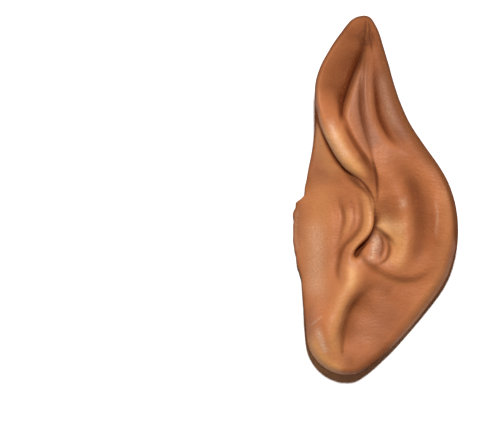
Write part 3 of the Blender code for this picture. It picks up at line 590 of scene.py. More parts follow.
@dataclass
class EarForm:
    """Outline and relief of the ear, worked out from its sections and folds."""

    length: float
    width: float
    depth: float
    folds: tuple[Fold, ...] = FOLDS + FINE_FOLDS
    wall: float = 0.0015
    heel: float = 0.003
    heel_height: float = 0.008
    rim: float = 0.0052
    edge_round: float = 0.0028
    edge_levels: tuple[float, ...] = (0.0, 8.0, 20.0, 33.0, 45.0, 70.0, 90.0, 100.0)
    edge_shares: tuple[float, ...] = (0.8, 1.0, 1.5, 1.25, 0.85, 0.55, 0.45, 0.45)
    step: float = 0.0008
    step_fade: float = 0.0032
    roll_round: float = 0.0019
    tragus_round: float = 0.0015
    roll_lean: float = 0.0010
    tragus_lean: float = 0.0012
    lean_reach: float = 0.008
    ease: float = 0.0002
    edge_turn: float = 0.48
    roll_turn: float = 0.16
    tragus_turn: float = 0.12
    soft_step: float = 0.15
    front_rim: float = 0.9
    over_flange: float = 0.12
    step_top: Point = (73.0, 79.0)
    step_foot: Point = (28.5, 33.5)
    roll_span: tuple[float, ...] = (52.0, 57.0, 72.0, 80.0)
    tragus_span: tuple[float, ...] = (31.5, 35.0, 45.0, 49.0)
    free_span: tuple[float, ...] = (9.0, 20.0, 66.0, 74.5)
    opening: Point = (6.5, 71.5)
    opening_power: float = 7.0
    front_marks: tuple[float, ...] = (10.0, 20.0, 66.0, 74.5)
    front_levels: tuple[float, ...] = (12.0, 20.0, 66.0, 70.0)
    rear_marks: Point = (18.0, 58.0)
    fold_reach: float = 3.2
    fold_taper: float = 0.42
    half_fall: float = 0.69
    rows_a_section: int = 8
    steps_a_point: int = 6
    outline_rows: int = 2401
    outline_shifts: int = 41
    table: Array = field(init=False)

    def __post_init__(self) -> None:
        """Draw the smooth section table, from the lobe up."""
        sections = [astuple(section) for section in SECTIONS]
        rows = spline(sections, self.rows_a_section * len(sections))
        scale = (self.length,) + 3 * (self.width,) + 4 * (self.depth,)
        self.table = rows[np.argsort(rows[:, Column.Y])] * np.array(scale) / 100.0

    def level(self, y: Array) -> Array:
        """Give the place along the ear in hundredths of its length."""
        return 100.0 * y / self.length

    def section(self, y: Array, column: Column) -> Array:
        """Read a column of the section table at each y."""
        return np.interp(y, self.table[:, Column.Y], self.table[:, column])

    def line(self, points: tuple[Point, ...]) -> Array:
        """Draw the smooth line of a fold or a stroke, from the tip down.

        Args:
            points: Points in hundredths of the width and length.

        Returns:
            Points in metres.
        """
        line = spline(points, self.steps_a_point * len(points) + 1)
        line *= np.array((self.width, self.length)) / 100.0
        return line[::-1] if line[0, 1] < line[-1, 1] else line

    def fold_height(self, fold: Fold, x: Array, y: Array) -> Array:
        """Work out what one fold adds to the face.

        Args:
            fold: The ridge or groove.
            x: Where the points lie along X.
            y: Where the points lie along Y.

        Returns:
            Height added at each point.
        """
        line = self.line(fold.line)
        unit = self.width / 100.0
        reach = self.fold_reach * max(fold.front_width, fold.rear_width) * unit
        near = (x > line[:, 0].min() - reach) & (x < line[:, 0].max() + reach)
        near &= (y > line[:, 1].min() - reach) & (y < line[:, 1].max() + reach)
        added = np.zeros(x.shape)
        away, across, along = measure_line(line, x[near], y[near])
        rearward = 0.5 + 0.5 * np.tanh(across / (min(fold.front_width, fold.rear_width) * unit))
        width = (fold.front_width + (fold.rear_width - fold.front_width) * rearward) * unit
        taper = smooth(np.minimum(along, 1.0 - along) / self.fold_taper)
        falloff = np.exp(-self.half_fall * (away / width) ** fold.power)
        added[near] = fold.height * self.depth / 100.0 * taper * falloff
        return added

    def edge_drop(self, x: Array, y: Array, column: Column) -> Array:
        """Work out how far the face has turned down towards the front or rear outline.

        Args:
            x: Where the points lie along X.
            y: Where the points lie along Y.
            column: Front or rear column of the section table.

        Returns:
            Drop from 0 to 1.
        """
        sign = 1.0 if column is Column.FRONT else -1.0
        reach = self.edge_round * max(self.edge_shares)
        inner = np.max([sign * self.section(y + shift, column) for shift in (-reach, 0.0, reach)],
                       axis=0)
        near = (sign * x < inner + reach) | (y < reach) | (y > self.length - reach)
        drop = np.zeros(x.shape)
        away, _ = nearest(self.table[::2, (column, Column.Y)], x[near], y[near])
        outside = sign * (x[near] - self.section(y[near], column)) < 0.0
        share = np.interp(self.level(y[near]), self.edge_levels, self.edge_shares)
        drop[near] = share * turned(np.where(outside, 0.0, away), share * self.edge_round)
        return drop

    def surface(self, x: Array, y: Array) -> Array:
        """Work out the height of the face above the rest plane.

        Args:
            x: Where the points lie along X, from the front edge.
            y: Where the points lie along Y, from the lobe.

        Returns:
            Height at each point.
        """
        level = self.level(y)
        (front, step, rear, flange_edge, flange_at_step, face_at_step,
         face_at_rear) = (self.section(y, column) for column in list(Column)[1:])
        share = np.clip((x - front) / np.maximum(step - front, TINY), 0.0, 1.0)
        cheek = flange_edge + (flange_at_step - flange_edge) * np.sin(share * math.pi / 2.0)
        share = np.clip((x - step) / np.maximum(rear - step, TINY), 0.0, 1.0)
        face = face_at_step + (face_at_rear - face_at_step) * smooth(share)
        for fold in self.folds:
            added = self.fold_height(fold, x, y)
            if fold.side is not Side.CHEEK:
                face = face + added
            if fold.side is not Side.FACE:
                cheek = cheek + added
        rows = self.level(self.table[:, Column.Y])
        line = self.table[(rows > self.step_foot[1]) & (rows < self.step_top[1])][::-1]
        _, across = nearest(line[:, (Column.STEP, Column.Y)], x, y)
        fade = (level - self.step_top[0]) / (self.step_top[1] - self.step_top[0])
        across = across + self.step_fade * smooth(fade)
        roll = span(level, self.roll_span) * turned(np.maximum(across, 0.0), self.roll_round)
        face = face - self.roll_turn * self.depth * roll
        edge = turned(np.maximum(-across, 0.0), self.tragus_round)
        cheek = cheek - self.tragus_turn * self.depth * span(level, self.tragus_span) * edge
        sharp = smooth(across / self.step + 0.5)
        wide = smooth((x - step) / (self.soft_step * self.width) + 0.5)
        blend = smooth((level - self.step_foot[0]) / (self.step_foot[1] - self.step_foot[0]))
        height = cheek + (face - cheek) * (blend * sharp + (1.0 - blend) * wide)
        walled = 1.0 - span(level, self.free_span)
        drop = np.maximum(self.edge_drop(x, y, Column.REAR),
                          walled * self.edge_drop(x, y, Column.FRONT))
        return height * (1.0 - self.edge_turn * drop)

    def relief(self, x: Array, y: Array) -> Array:
        """Work out the height of the face, eased over a small neighbourhood.

        Args:
            x: Where the points lie along X, from the front edge.
            y: Where the points lie along Y, from the lobe.

        Returns:
            Height at each point.
        """
        total = 2.0 * self.surface(x, y)
        for dx, dy in ((1.0, 0.0), (-1.0, 0.0), (0.0, 1.0), (0.0, -1.0)):
            total = total + self.surface(x + dx * self.ease, y + dy * self.ease)
        return total / 6.0

    def outline(self, inset: float) -> tuple[Array, Array, Array]:
        """Draw the outline in by a distance.

        Args:
            inset: Distance inside the true outline.

        Returns:
            y, front x and rear x of its rows, from the lobe to the tip.
        """
        y = np.linspace(0.0, self.length, self.outline_rows)
        if inset == 0.0:
            return y, self.trimmed_front(y), self.section(y, Column.REAR)
        front = np.full(y.shape, -np.inf)
        rear = np.full(y.shape, np.inf)
        for shift in np.linspace(-inset, inset, self.outline_shifts):
            reach = math.sqrt(max(inset * inset - shift * shift, 0.0))
            there = y + shift
            outside = (there < 0.0) | (there > self.length)
            edge = np.where(outside, np.inf, self.trimmed_front(there) + reach)
            front = np.maximum(front, edge)
            edge = np.where(outside, -np.inf, self.section(there, Column.REAR) - reach)
            rear = np.minimum(rear, edge)
        inside = front < rear
        return y[inside], front[inside], rear[inside]

    def trimmed_front(self, y: Array) -> Array:
        """Work out where the raggedly trimmed front edge lies.

        Args:
            y: Places along the ear.

        Returns:
            x of the edge: the smooth outline with the bites cut in.
        """
        level = self.level(y)
        cuts = [cut * np.exp(-((level - place) / half) ** 2) for place, half, cut in EDGE_BITES]
        return self.section(y, Column.FRONT) + sum(cuts) * self.width / 100.0

    def opening_line(self, level: Array, front_side: bool) -> tuple[Array, Array]:
        """Draw one side of the opening in the back.

        Args:
            level: Places along the outline, in hundredths of the length.
            front_side: Whether they lie on the front side.

        Returns:
            x and y of the edge of the opening.
        """
        foot, top = self.opening
        marks, places = self.rear_marks, self.rear_marks
        if front_side:
            marks, places = self.front_marks, self.front_levels
        level = np.interp(level, (0.0, *marks, 100.0), (foot, *places, top))
        y = level * self.length / 100.0
        rear = self.section(y, Column.REAR) - self.heel - self.rim
        walled = 1.0 - span(level, self.free_span)
        front = self.section(y, Column.FRONT) + self.front_rim * self.rim * walled
        part = np.abs((level - 0.5 * (foot + top)) / (0.5 * (top - foot)))
        narrow = np.sqrt(np.maximum(1.0 - part ** self.opening_power, 0.0))
        half = np.maximum(0.5 * (rear - front), 0.5 * self.wall) * narrow
        return 0.5 * (front + rear) + (-half if front_side else half), y

    def lean(self, points: Array) -> Array:
        """Draw the foot of the step in, so that roll and tragus overhang what is beside them.

        Args:
            points: Points of the ear.

        Returns:
            The moved points.
        """
        x, y, z = points.T
        level = self.level(y)
        front, step = self.section(y, Column.FRONT), self.section(y, Column.STEP)
        near = np.exp(-((x - step) / self.lean_reach) ** 2)
        near = near * smooth((x - front) / np.maximum(step - front, TINY))
        shift = self.roll_lean * span(level, self.roll_span)
        shift = shift - self.tragus_lean * span(level, self.tragus_span)
        below = np.clip(1.0 - z / self.depth, 0.0, 1.0)
        below = below * smooth(z / (self.over_flange * self.depth))
        return np.column_stack((x + shift * near * below, y, z))


@dataclass
class HeightMap:
    """Heights of both skins on a regular grid, read between its cells."""

    form: EarForm
    cell: float = 0.00025
    blur: float = 0.7
    x: Array = field(init=False)
    y: Array = field(init=False)
    outer: Array = field(init=False)
    inner: Array = field(init=False)

    def __post_init__(self) -> None:
        """Lay out the grid and work out both skins."""
        margin = 2.0 * self.form.wall
        self.x = np.arange(-margin, self.form.width + margin, self.cell)
        self.y = np.arange(-margin, self.form.length + margin, self.cell)
        self.outer = blurred(self.form.surface(*np.meshgrid(self.x, self.y)), self.blur)
        self.inner = self.hollowed()

    def hollowed(self) -> Array:
        """Keep the inner skin a wall away from every point of the outer one.

        Returns:
            Heights of the inner skin on the grid.
        """
        wall = self.form.wall
        reach = int(wall / self.cell)
        padded = np.pad(self.outer, reach, mode="edge")
        rows, columns = self.outer.shape
        result = np.full(self.outer.shape, np.inf)
        for step_y in range(-reach, reach + 1):
            for step_x in range(-reach, reach + 1):
                square = wall ** 2 - (step_x ** 2 + step_y ** 2) * self.cell ** 2
                if square >= 0.0:
                    moved = padded[reach + step_y:reach + step_y + rows,
                                   reach + step_x:reach + step_x + columns]
                    result = np.minimum(result, moved - math.sqrt(square))
        return result

    def recess(self, reach: float, depth: float) -> Array:
        """Find where the face lies lower than its surroundings.

        Args:
            reach: Distance over which the surroundings are taken.
            depth: Difference in height that counts as fully recessed.

        Returns:
            Values from -1 on crests to 1 in grooves, on the grid.
        """
        around = blurred(self.outer, reach / self.cell)
        return np.clip((around - self.outer) / depth, -1.0, 1.0)

    def read(self, table: Array, x: Array, y: Array) -> Array:
        """Read a table at points between its cells.

        Args:
            table: Values on the grid.
            x: Where the points lie along X.
            y: Where the points lie along Y.

        Returns:
            Value at each point.
        """
        column = np.clip((x - self.x[0]) / self.cell, 0.0, len(self.x) - 1.0 - TINY)
        row = np.clip((y - self.y[0]) / self.cell, 0.0, len(self.y) - 1.0 - TINY)
        left, low = column.astype(int), row.astype(int)
        right_part, top_part = column - left, row - low
        below = table[low, left] * (1.0 - right_part) + table[low, left + 1] * right_part
        above = table[low + 1, left] * (1.0 - right_part) + table[low + 1, left + 1] * right_part
        return below * (1.0 - top_part) + above * top_part


@dataclass
class Skin:
    """One side of the latex: a grid laid over the face, with its edge extruded down the wall
    and in along the back to the opening."""

    heights: HeightMap
    name: str
    inset: float
    rows: int
    columns: int
    wall_rings: int = 9
    rim_rings: int = 6
    even_share: float = 0.45
    fine_steps: int = 301
    aligned_span: tuple[float, ...] = (22.0, 32.0, 67.0, 86.0)
    step_columns: Point = (0.24, 0.36)
    step_half_width: float = 0.6
    steepest: float = 1.5
    least_run: float = 0.0005
    outer_hem: Point = (0.12, -0.35)
    inner_hem: Point = (-0.6, 0.10)

    def levels(self) -> Array:
        """Give the rows as shares from lobe to tip, close together near both ends."""
        share = np.linspace(0.0, 1.0, self.rows)
        return (self.even_share * share
                + (1.0 - self.even_share) * (0.5 - 0.5 * np.cos(math.pi * share)))

    def face_places(self) -> Array:
        """Lay the grid over the face, with columns along the step.

        Returns:
            Points in rows and columns; all points of the first and last row meet in one.
        """
        form = self.heights.form
        inner = self.inset > 0.0
        table = self.heights.inner if inner else self.heights.outer
        table_y, table_front, table_rear = form.outline(self.inset)
        y = table_y[0] + (table_y[-1] - table_y[0]) * self.levels()
        front = np.interp(y, table_y, table_front)
        across = np.interp(y, table_y, table_rear) - front
        fine = np.linspace(0.0, 1.0, self.fine_steps)
        x = front[:, None] + across[:, None] * fine
        z = self.heights.read(table, x, np.repeat(y[:, None], len(fine), axis=1))
        run, rise = np.diff(x, axis=1), np.abs(np.diff(z, axis=1))
        run = np.hypot(run, np.minimum(rise, self.steepest * run))
        run += self.least_run * across[:, None]
        run = np.hstack((np.zeros((len(y), 1)), np.cumsum(run, axis=1)))
        run /= np.maximum(run[:, -1:], TINY)
        even = np.linspace(0.0, 1.0, self.columns)
        marks = np.round(np.array(self.step_columns) * self.columns) / (self.columns - 1.0)
        aligned = span(form.level(y), self.aligned_span)
        across = np.maximum(across, TINY)
        step = (form.section(y, Column.STEP) - front) / across
        half_step = self.step_half_width * form.step / across
        places = np.empty((self.rows, self.columns))
        for index, row in enumerate(run):
            edges = step[index] + np.array((-1.0, 1.0)) * half_step[index]
            before, after = np.interp(edges, fine, row)
            placed = np.interp(even, (0.0, marks[0], marks[1], 1.0), (0.0, before, after, 1.0))
            places[index] = np.interp(even + (placed - even) * aligned[index], row, fine)
        x = front[:, None] + across[:, None] * places
        x[(0, -1), :] = 0.5 * (table_front + table_rear)[[0, -1], None]
        y = np.repeat(y[:, None], self.columns, axis=1)
        z = self.heights.read(table, x, y) if inner else form.relief(x, y)
        return np.dstack((x, y, z))

    def ring_places(self, face: Array) -> list[Array]:
        """Work out the rings that carry the edge of the face to the opening.

        Args:
            face: Points of the face in rows and columns.

        Returns:
            Points of each ring, from the lobe up the rear and down the front.
        """
        form = self.heights.form
        loop = np.vstack((face[0, :1], face[1:-1, -1], face[-1, :1], face[-2:0:-1, 0]))
        shares = self.levels()
        shares = np.concatenate((shares, shares[-2:0:-1]))
        sides = np.arange(len(loop)) >= self.rows
        table_y, table_front, table_rear = form.outline(self.inset + form.heel)
        heel_y = table_y[0] + (table_y[-1] - table_y[0]) * shares
        heel_x = np.where(sides, np.interp(heel_y, table_y, table_front),
                          np.interp(heel_y, table_y, table_rear))
        drawn = np.clip((loop[:, 2] + self.inset) / form.heel_height, 0.0, 1.0)
        heel_x = loop[:, 0] + (heel_x - loop[:, 0]) * drawn
        heel_y = loop[:, 1] + (heel_y - loop[:, 1]) * drawn
        level = form.level(loop[:, 1])
        rear_x, rear_y = form.opening_line(level, False)
        front_x, front_y = form.opening_line(level, True)
        open_x = np.where(sides, front_x, rear_x)
        open_y = np.where(sides, front_y, rear_y)
        free = np.where(sides, span(level, form.free_span), 0.0)
        lift = self.inset
        hem_run, hem_rise = self.inner_hem if self.inset > 0.0 else self.outer_hem
        total = self.wall_rings + self.rim_rings
        rings = []
        for index in range(1, total + 1):
            if index <= self.wall_rings:
                part = index / self.wall_rings
                x = loop[:, 0] + (heel_x - loop[:, 0]) * part * part
                y = loop[:, 1] + (heel_y - loop[:, 1]) * part * part
                z = lift + (loop[:, 2] - lift) * (1.0 - part)
            else:
                part = (index - self.wall_rings) / self.rim_rings
                x = heel_x + (open_x - heel_x) * part
                y = heel_y + (open_y - heel_y) * part
                z = np.full(len(loop), lift)
            part = index / total
            hem_x = loop[:, 0] + hem_run * form.wall * part
            hem_z = loop[:, 2] + hem_rise * form.wall * part
            rings.append(np.column_stack((x + (hem_x - x) * free, y + (loop[:, 1] - y) * free,
                                          z + (hem_z - z) * free)))
        return rings

    def build(self) -> bpy.types.Object:
        """Add the grid, lay it over the face and extrude its edge ring by ring.

        Returns:
            The object, open where the ear goes in.
        """
        select_only()
        bpy.ops.mesh.primitive_grid_add(x_subdivisions=self.columns - 1,
                                        y_subdivisions=self.rows - 1, size=1.0)
        sheet = bpy.context.active_object
        sheet.name = self.name
        face = self.face_places()
        sheet.data.vertices.foreach_set("co", face.astype(np.float32).ravel())
        edge = np.zeros((self.rows, self.columns), int)
        edge[:, -1] = np.arange(self.rows) + 1
        edge[:, 0] = 2 * self.rows - 1 - np.arange(self.rows)
        edge[0] = 1
        edge[-1] = self.rows
        order = sheet.data.attributes.new("order", "INT", "POINT")
        order.data.foreach_set("value", edge.ravel())
        bpy.ops.object.mode_set(mode="EDIT")
        bpy.ops.mesh.select_mode(type="VERT")
        bpy.ops.mesh.select_all(action="SELECT")
        bpy.ops.mesh.remove_doubles(threshold=TINY)
        bpy.ops.mesh.select_mode(type="EDGE")
        for places in self.ring_places(face):
            self.extrude_ring(sheet.data, places)
        bpy.ops.object.mode_set(mode="OBJECT")
        return sheet

    def extrude_ring(self, mesh: bpy.types.Mesh, places: Array) -> None:
        """Extrude the open edge once and lay the new ring.

        Args:
            mesh: Mesh in edit mode.
            places: Points of the new ring.
        """
        select_open_edge()
        bpy.ops.mesh.extrude_region()
        shape = bmesh.from_edit_mesh(mesh)
        order = shape.verts.layers.int["order"]
        ring = sorted((vert for vert in shape.verts if vert.select), key=lambda v: v[order])
        for vert, place in zip(ring, places):
            vert.co = place
        bmesh.update_edit_mesh(mesh)


@dataclass
class Nodes:
    """New material with a Principled shader, and short calls that add nodes to it."""

    name: str
    material: bpy.types.Material = field(init=False)

    def __post_init__(self) -> None:
        """Start the material."""
        self.material = bpy.data.materials.new(self.name)
        self.material.use_nodes = True

    def feed(self, node: bpy.types.Node, inputs: dict[str | int, Value]) -> None:
        """Set the inputs of a node, or link them.

        Args:
            node: The node.
            inputs: Number, colour or socket for each input.
        """
        for name, value in inputs.items():
            if isinstance(value, Socket):
                self.material.node_tree.links.new(value, node.inputs[name])
            else:
                node.inputs[name].default_value = value

    def finished(self, inputs: dict[str, Value]) -> bpy.types.Material:
        """Feed the shader and give the material."""
        self.feed(self.material.node_tree.nodes["Principled BSDF"], inputs)
        return self.material

    def add(self, kind: str, output: str, inputs: dict[str | int, Value] | None = None,
            **settings: str) -> Socket:
        """Add a node.

        Args:
            kind: What Blender calls the node after the word ShaderNode.
            output: Name of the wanted output.
            inputs: Number, colour or socket for each input.
            settings: Properties of the node.

        Returns:
            The output.
        """
        node = self.material.node_tree.nodes.new("ShaderNode" + kind)
        for name, value in settings.items():
            setattr(node, name, value)
        self.feed(node, inputs or {})
        return node.outputs[output]

    def noise(self, place: Socket, scale: float, detail: float) -> Socket:
        """Add a noise pattern, with its patches in a metre and its number of finer layers."""
        return self.add("TexNoise", "Fac", {"Vector": place, "Scale": scale, "Detail": detail})

    def ranged(self, value: Socket, old: Point, new: Point = (0.0, 1.0)) -> Socket:
        """Stretch a value from an old range to a new one."""
        limits = dict(zip(("From Min", "From Max", "To Min", "To Max"), old + new))
        return self.add("MapRange", "Result", {"Value": value, **limits})

    def scaled(self, value: Socket, factor: Socket | float) -> Socket:
        """Multiply a value by a factor."""
        return self.add("Math", "Value", {0: value, 1: factor}, operation="MULTIPLY")

    def mixed(self, share: Socket, first: Socket | Colour, second: Colour) -> Socket:
        """Mix a share of the second colour into the first."""
        return self.add("Mix", "Result", {"Factor": share, "A": first, "B": second},
                        data_type="RGBA")


@dataclass(frozen=True)
class LatexFinish:
    """Satin skin-coloured latex with painted shade in its grooves and painted highlight on its
    crests.
    """

    base: Colour = (0.455, 0.160, 0.059, 1.0)
    mottle: Colour = (0.360, 0.116, 0.039, 1.0)
    # Painted shade in the grooves
    groove_shade: Colour = (0.110, 0.026, 0.008, 1.0)
    # Golden tone, also laid as painted highlight
    gold_and_highlight: Colour = (0.610, 0.295, 0.105, 1.0)
    rose: Colour = (0.275, 0.112, 0.060, 1.0)
    # Darker tone, also laid as painted shade
    brown_and_shade: Colour = (0.148, 0.049, 0.020, 1.0)
    # Painted highlight
    pale: Colour = (0.600, 0.370, 0.240, 1.0)
    coarse_detail: float = 3.0
    fine_detail: float = 2.0
    mottle_scale: float = 90.0
    mottle_range: Point = (0.35, 0.68)
    groove_shade_range: Point = (0.05, 1.0)
    # Painted highlight on the crests
    crest_highlight_range: Point = (-0.25, -1.0)
    crest_highlight_share: float = 0.06
    speckle_scale: float = 1900.0
    dark_speckles: Point = (0.52, 0.80)
    dark_share: float = 0.40
    # Speckles that break the painted highlight into glints
    light_speckles: Point = (0.68, 0.32)
    light_shares: Point = (0.3, 1.0)
    gloss: float = 0.26
    dull_recess: float = 0.5
    dull_brown: float = 0.7
    rough_patches: Point = (0.3, 0.7)
    roughness: Point = (0.47, 0.59)
    subsurface: float = 0.12
    scatter: float = 0.0012
    scatter_colour: tuple[float, float, float] = (1.0, 0.36, 0.16)
    ripple_scale: float = 260.0
    ripple_depth: float = 0.00022
    wrinkle_scale: tuple[float, float, float] = (260.0, 1500.0, 800.0)
    wrinkle_depth: float = 0.00008
    pore_scale: float = 1400.0
    pore_depth: float = 0.00014

    def build(self) -> bpy.types.Material:
        """Make the material.

        Returns:
            The material.
        """
        nodes = Nodes("latex")
        place = nodes.add("TexCoord", "Object")
        patches = nodes.noise(place, self.mottle_scale, self.coarse_detail)
        tones_and_painted_light = nodes.add("Attribute", "Color", attribute_name="tones_and_painted_light")
        gold_and_highlight, rose, brown_and_shade = nodes.add("SeparateColor", "Red", {"Color": tones_and_painted_light}).node.outputs
        recess = nodes.add("Attribute", "Fac", attribute_name="recess")
        colour = nodes.mixed(nodes.ranged(patches, self.mottle_range), self.base, self.mottle)
        # Brush strokes by channel: golden tone with painted highlight, rose tone, darker tone
        # with painted shade
        for share, tone in ((gold_and_highlight, self.gold_and_highlight), (rose, self.rose), (brown_and_shade, self.brown_and_shade)):
            colour = nodes.mixed(share, colour, tone)
        # Painted shade: darker where the face lies lower than its surroundings
        colour = nodes.mixed(nodes.ranged(recess, self.groove_shade_range), colour, self.groove_shade)
        # Painted highlight: a little of the golden tone on the crests
        crest_highlight = nodes.scaled(nodes.ranged(recess, self.crest_highlight_range), self.crest_highlight_share)
        colour = nodes.mixed(crest_highlight, colour, self.gold_and_highlight)
        speckle = nodes.noise(place, self.speckle_scale, self.fine_detail)
        dark = nodes.scaled(nodes.ranged(speckle, self.dark_speckles), self.dark_share)
        colour = nodes.mixed(dark, colour, self.mottle)
        # Painted highlight of the highlight channel, broken into glints by the fine speckle
        light = nodes.ranged(speckle, self.light_speckles, self.light_shares)
        light = nodes.scaled(light, tones_and_painted_light.node.outputs["Alpha"])
        shine = nodes.ranged(recess, (0.0, self.dull_recess), (self.gloss, 0.0))
        matt = nodes.ranged(brown_and_shade, (0.0, self.dull_brown), (1.0, 0.0))
        return nodes.finished({
            "Base Color": nodes.mixed(light, colour, self.pale),
            "Specular IOR Level": nodes.scaled(shine, matt),
            "Subsurface Weight": self.subsurface,
            "Subsurface Radius": self.scatter_colour,
            "Subsurface Scale": self.scatter,
            "Roughness": nodes.ranged(patches, self.rough_patches, self.roughness),
            "Normal": self.normal(nodes, place)})

    def normal(self, nodes: Nodes, place: Socket) -> Socket:
        """Lay ripples, wrinkles and pores over each other.

        Args:
            nodes: Nodes of the material.
            place: Object coordinates.

        Returns:
            The normal.
        """
        stretched = nodes.add("Mapping", "Vector", {"Vector": place, "Scale": self.wrinkle_scale})
        ripples = nodes.noise(place, self.ripple_scale, self.coarse_detail)
        wrinkles = nodes.noise(stretched, 1.0, self.fine_detail)
        pores = nodes.noise(place, self.pore_scale, self.fine_detail)
        below = {}
        for height, depth in ((ripples, self.ripple_depth), (wrinkles, self.wrinkle_depth),
                              (pores, self.pore_depth)):
            normal = nodes.add("Bump", "Normal", {"Strength": 1.0, "Distance": depth,
                                                  "Height": height, **below})
            below = {"Normal": normal}
        return normal


@dataclass
class EarCover:
    """The worn piece: outer and inner skin joined round the opening into one closed body."""

    form: EarForm
    finish: LatexFinish
    rows: int = 330
    columns: int = 140
    inner_columns: int = 60
    recess_reach: float = 0.0012
    recess_depth: float = 0.0009
    stroke_taper: float = 0.25
    stroke_end: float = 0.15
    edge_shade: float = 0.9
    lobe_shade: float = 0.4
    lobe_level: float = 25.0
    unevenness: float = 0.00016
    unevenness_size: float = 0.006
    unevenness_detail: int = 2

    def build(self) -> bpy.types.Object:
        """Build both skins, join them and dress the body.

        Returns:
            The finished piece.
        """
        heights = HeightMap(self.form)
        outer = Skin(heights, "latex_skin", 0.0, self.rows, self.columns).build()
        self.tones_and_painted_light(outer.data, heights)
        inner = Skin(heights, "inner_skin", self.form.wall, self.rows, self.inner_columns).build()
        self.leave_bare(inner.data)
        ear = self.joined(outer, inner)
        self.set_in_place(ear.data)
        self.roughen(ear)
        select_only(ear)
        bpy.ops.object.shade_smooth()
        ear.data.materials.clear()
        ear.data.materials.append(self.finish.build())
        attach(ear, "root")
        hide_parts(LATEX_NODE)
        return ear

    def tones_and_painted_light(self, mesh: bpy.types.Mesh, heights: HeightMap) -> None:
        """Store the groove measure for the painted groove shade, and the brush strokes of tones,
        painted shade and painted highlights, on the outer skin.

        Args:
            mesh: Mesh of the outer skin.
            heights: Heights that tell grooves from crests.
        """
        form = self.form
        x, y, _ = points_of(mesh).T
        table = heights.recess(self.recess_reach, self.recess_depth)
        recess = mesh.attributes.new("recess", "FLOAT", "POINT")
        recess.data.foreach_set("value", heights.read(table, x, y))
        colours = np.zeros((len(x), len(Tone)))
        for stroke in STROKES:
            away, _, along = measure_line(form.line(stroke.line), x, y)
            width = stroke.width * form.width / 100.0
            end = np.minimum(along, 1.0 - along)
            tone = stroke.strength * smooth(end / self.stroke_taper + self.stroke_end)
            colours[:, stroke.tone] += tone * np.exp(-(away / width) ** 2)
        # Painted shade along the edges that turn down, weaker towards the lobe
        walled = 1.0 - span(form.level(y), form.free_span)
        edge = np.maximum(form.edge_drop(x, y, Column.REAR),
                          form.edge_drop(x, y, Column.FRONT) * walled)
        above_lobe = smooth(form.level(y) / self.lobe_level)
        shade = self.edge_shade * (self.lobe_shade + (1.0 - self.lobe_shade) * above_lobe)
        colours[:, Tone.BROWN] += shade * np.sqrt(edge)
        colours = np.clip(colours, 0.0, 1.0)
        tones_and_painted_light = mesh.attributes.new("tones_and_painted_light", "FLOAT_COLOR", "POINT")
        tones_and_painted_light.data.foreach_set("color", colours.ravel())

    @staticmethod
    def leave_bare(mesh: bpy.types.Mesh) -> None:
        """Give the inner skin the same attributes, without painted tones or painted light."""
        mesh.attributes.new("recess", "FLOAT", "POINT")
        mesh.attributes.new("tones_and_painted_light", "FLOAT_COLOR", "POINT")

    @staticmethod
    def joined(outer: bpy.types.Object, inner: bpy.types.Object) -> bpy.types.Object:
        """Join the skins and bridge the gap between their open edges.

        Args:
            outer: The outer skin.
            inner: The inner skin.

        Returns:
            The closed body.
        """
        select_only(outer, inner)
        bpy.ops.object.join()
        bpy.ops.object.mode_set(mode="EDIT")
        bpy.ops.mesh.select_mode(type="EDGE")
        select_open_edge()
        bpy.ops.mesh.bridge_edge_loops()
        bpy.ops.mesh.select_all(action="SELECT")
        bpy.ops.mesh.normals_make_consistent(inside=False)
        bpy.ops.object.mode_set(mode="OBJECT")
        outer.data.attributes.remove(outer.data.attributes["order"])
        return outer

    def set_in_place(self, mesh: bpy.types.Mesh) -> None:
        """Lean the roll and the tragus over and move the ear to where the frame has it.

        Args:
            mesh: Mesh of the ear.
        """
        points = self.form.lean(points_of(mesh))
        points -= np.array((0.5 * self.form.width, 0.5 * self.form.length, 0.0))
        mesh.vertices.foreach_set("co", points.astype(np.float32).ravel())
        mesh.update()

    def roughen(self, ear: bpy.types.Object) -> None:
        """Give the face the slight unevenness of poured latex.

        Args:
            ear: The ear.
        """
        group = ear.vertex_groups.new(name="face")
        wall = self.form.wall
        rise = smooth((points_of(ear.data)[:, 2] - wall) / (2.0 * wall))
        for index, weight in enumerate(rise.tolist()):
            group.add((index,), weight, "REPLACE")
        pattern = bpy.data.textures.new("poured latex", "CLOUDS")
        pattern.noise_scale = self.unevenness_size
        pattern.noise_depth = self.unevenness_detail
        displace = ear.modifiers.new("unevenness", "DISPLACE")
        displace.texture = pattern
        displace.texture_coords = "LOCAL"
        displace.vertex_group = group.name
        displace.strength = self.unevenness
        select_only(ear)
        bpy.ops.object.modifier_apply(modifier=displace.name)
        ear.vertex_groups.clear()


@dataclass(frozen=True)
class PaperFinish:
    """Matt white paper of the table."""

    colour: Colour = (0.93, 0.93, 0.93, 1.0)
    roughness: float = 0.85
    gloss: float = 0.2

    def build(self) -> bpy.types.Material:
        """Make the material."""
        return Nodes("paper").finished({"Base Color": self.colour, "Roughness": self.roughness,
                                        "Specular IOR Level": self.gloss})


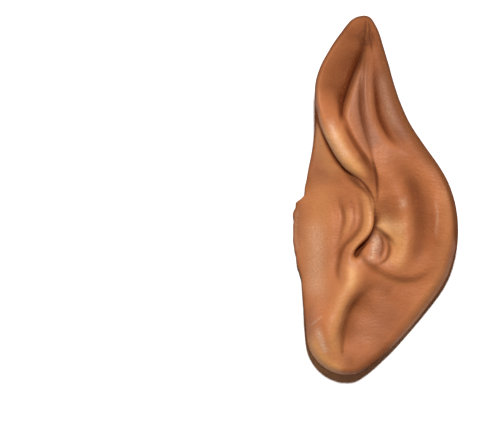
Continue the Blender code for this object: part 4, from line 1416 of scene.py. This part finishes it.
@dataclass
class Studio:
    """Table, lights and camera."""

    table_size: float = 6.0
    table_gap: float = 0.0001
    key_distance: float = 1.5
    key_tilt: float = 20.0
    key_size: float = 0.12
    key_power: float = 30.0
    fill: float = 0.10
    fill_colour: tuple[float, float, float] = (1.0, 0.52, 0.29)
    centre: Point = (-0.0429, -0.0052)
    view_width: float = 0.1541
    view_height: float = 1.2
    middle_height: float = 0.010
    seen_range: Point = (0.05, 20.0)

    def build(self) -> None:
        """Set up the table, the lights and the camera."""
        self.add_table()
        self.add_key()
        self.add_fill()
        self.add_camera()

    def add_table(self) -> None:
        """Add the table that the ear rests on."""
        select_only()
        bpy.ops.mesh.primitive_plane_add(size=self.table_size,
                                         location=(0.0, 0.0, -self.table_gap))
        table = bpy.context.active_object
        table.name = "table"
        table.data.materials.append(PaperFinish().build())

    def add_key(self) -> None:
        """Add the soft key light above the camera's upper edge."""
        tilt = math.radians(self.key_tilt)
        place = (0.0, self.key_distance * math.sin(tilt), self.key_distance * math.cos(tilt))
        bpy.ops.object.light_add(type="AREA", location=place, rotation=(-tilt, 0.0, 0.0))
        key = bpy.context.active_object
        key.name = "key"
        key.data.shape = "DISK"
        key.data.size = self.key_size
        key.data.energy = self.key_power
        key.visible_camera = False

    def add_fill(self) -> None:
        """Light the room evenly."""
        world = bpy.data.worlds.new("room")
        world.use_nodes = True
        backdrop = world.node_tree.nodes["Background"]
        backdrop.inputs["Color"].default_value = (*self.fill_colour, 1.0)
        backdrop.inputs["Strength"].default_value = self.fill
        bpy.context.scene.world = world

    def add_camera(self) -> None:
        """Look straight down at the table."""
        place = (*self.centre, self.view_height)
        bpy.ops.object.camera_add(location=place, rotation=(0.0, 0.0, 0.0))
        camera = bpy.context.active_object
        camera.name = "camera"
        reach = self.view_height - self.middle_height
        camera.data.lens = camera.data.sensor_width * reach / self.view_width
        camera.data.clip_start, camera.data.clip_end = self.seen_range
        bpy.context.scene.camera = camera
        bpy.context.scene.view_settings.view_transform = "Standard"


def make_form() -> EarForm:
    """Size the ear's form from the frame.

    Returns:
        The form.
    """
    low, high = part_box(LATEX_NODE)
    crest_over_depth = 0.9875
    return EarForm(length=high.y - low.y, width=high.x - low.x,
                   depth=(high.z - low.z) / crest_over_depth)


def main() -> None:
    """Build the ear and its surroundings."""
    logging.basicConfig(level=logging.INFO, format="%(message)s")
    ear = EarCover(make_form(), LatexFinish()).build()
    log.info("%s: %d points, %d faces", ear.name, len(ear.data.vertices), len(ear.data.polygons))
    Studio().build()
    log.info("table, lights and camera")


if __name__ == "__main__":
    main()
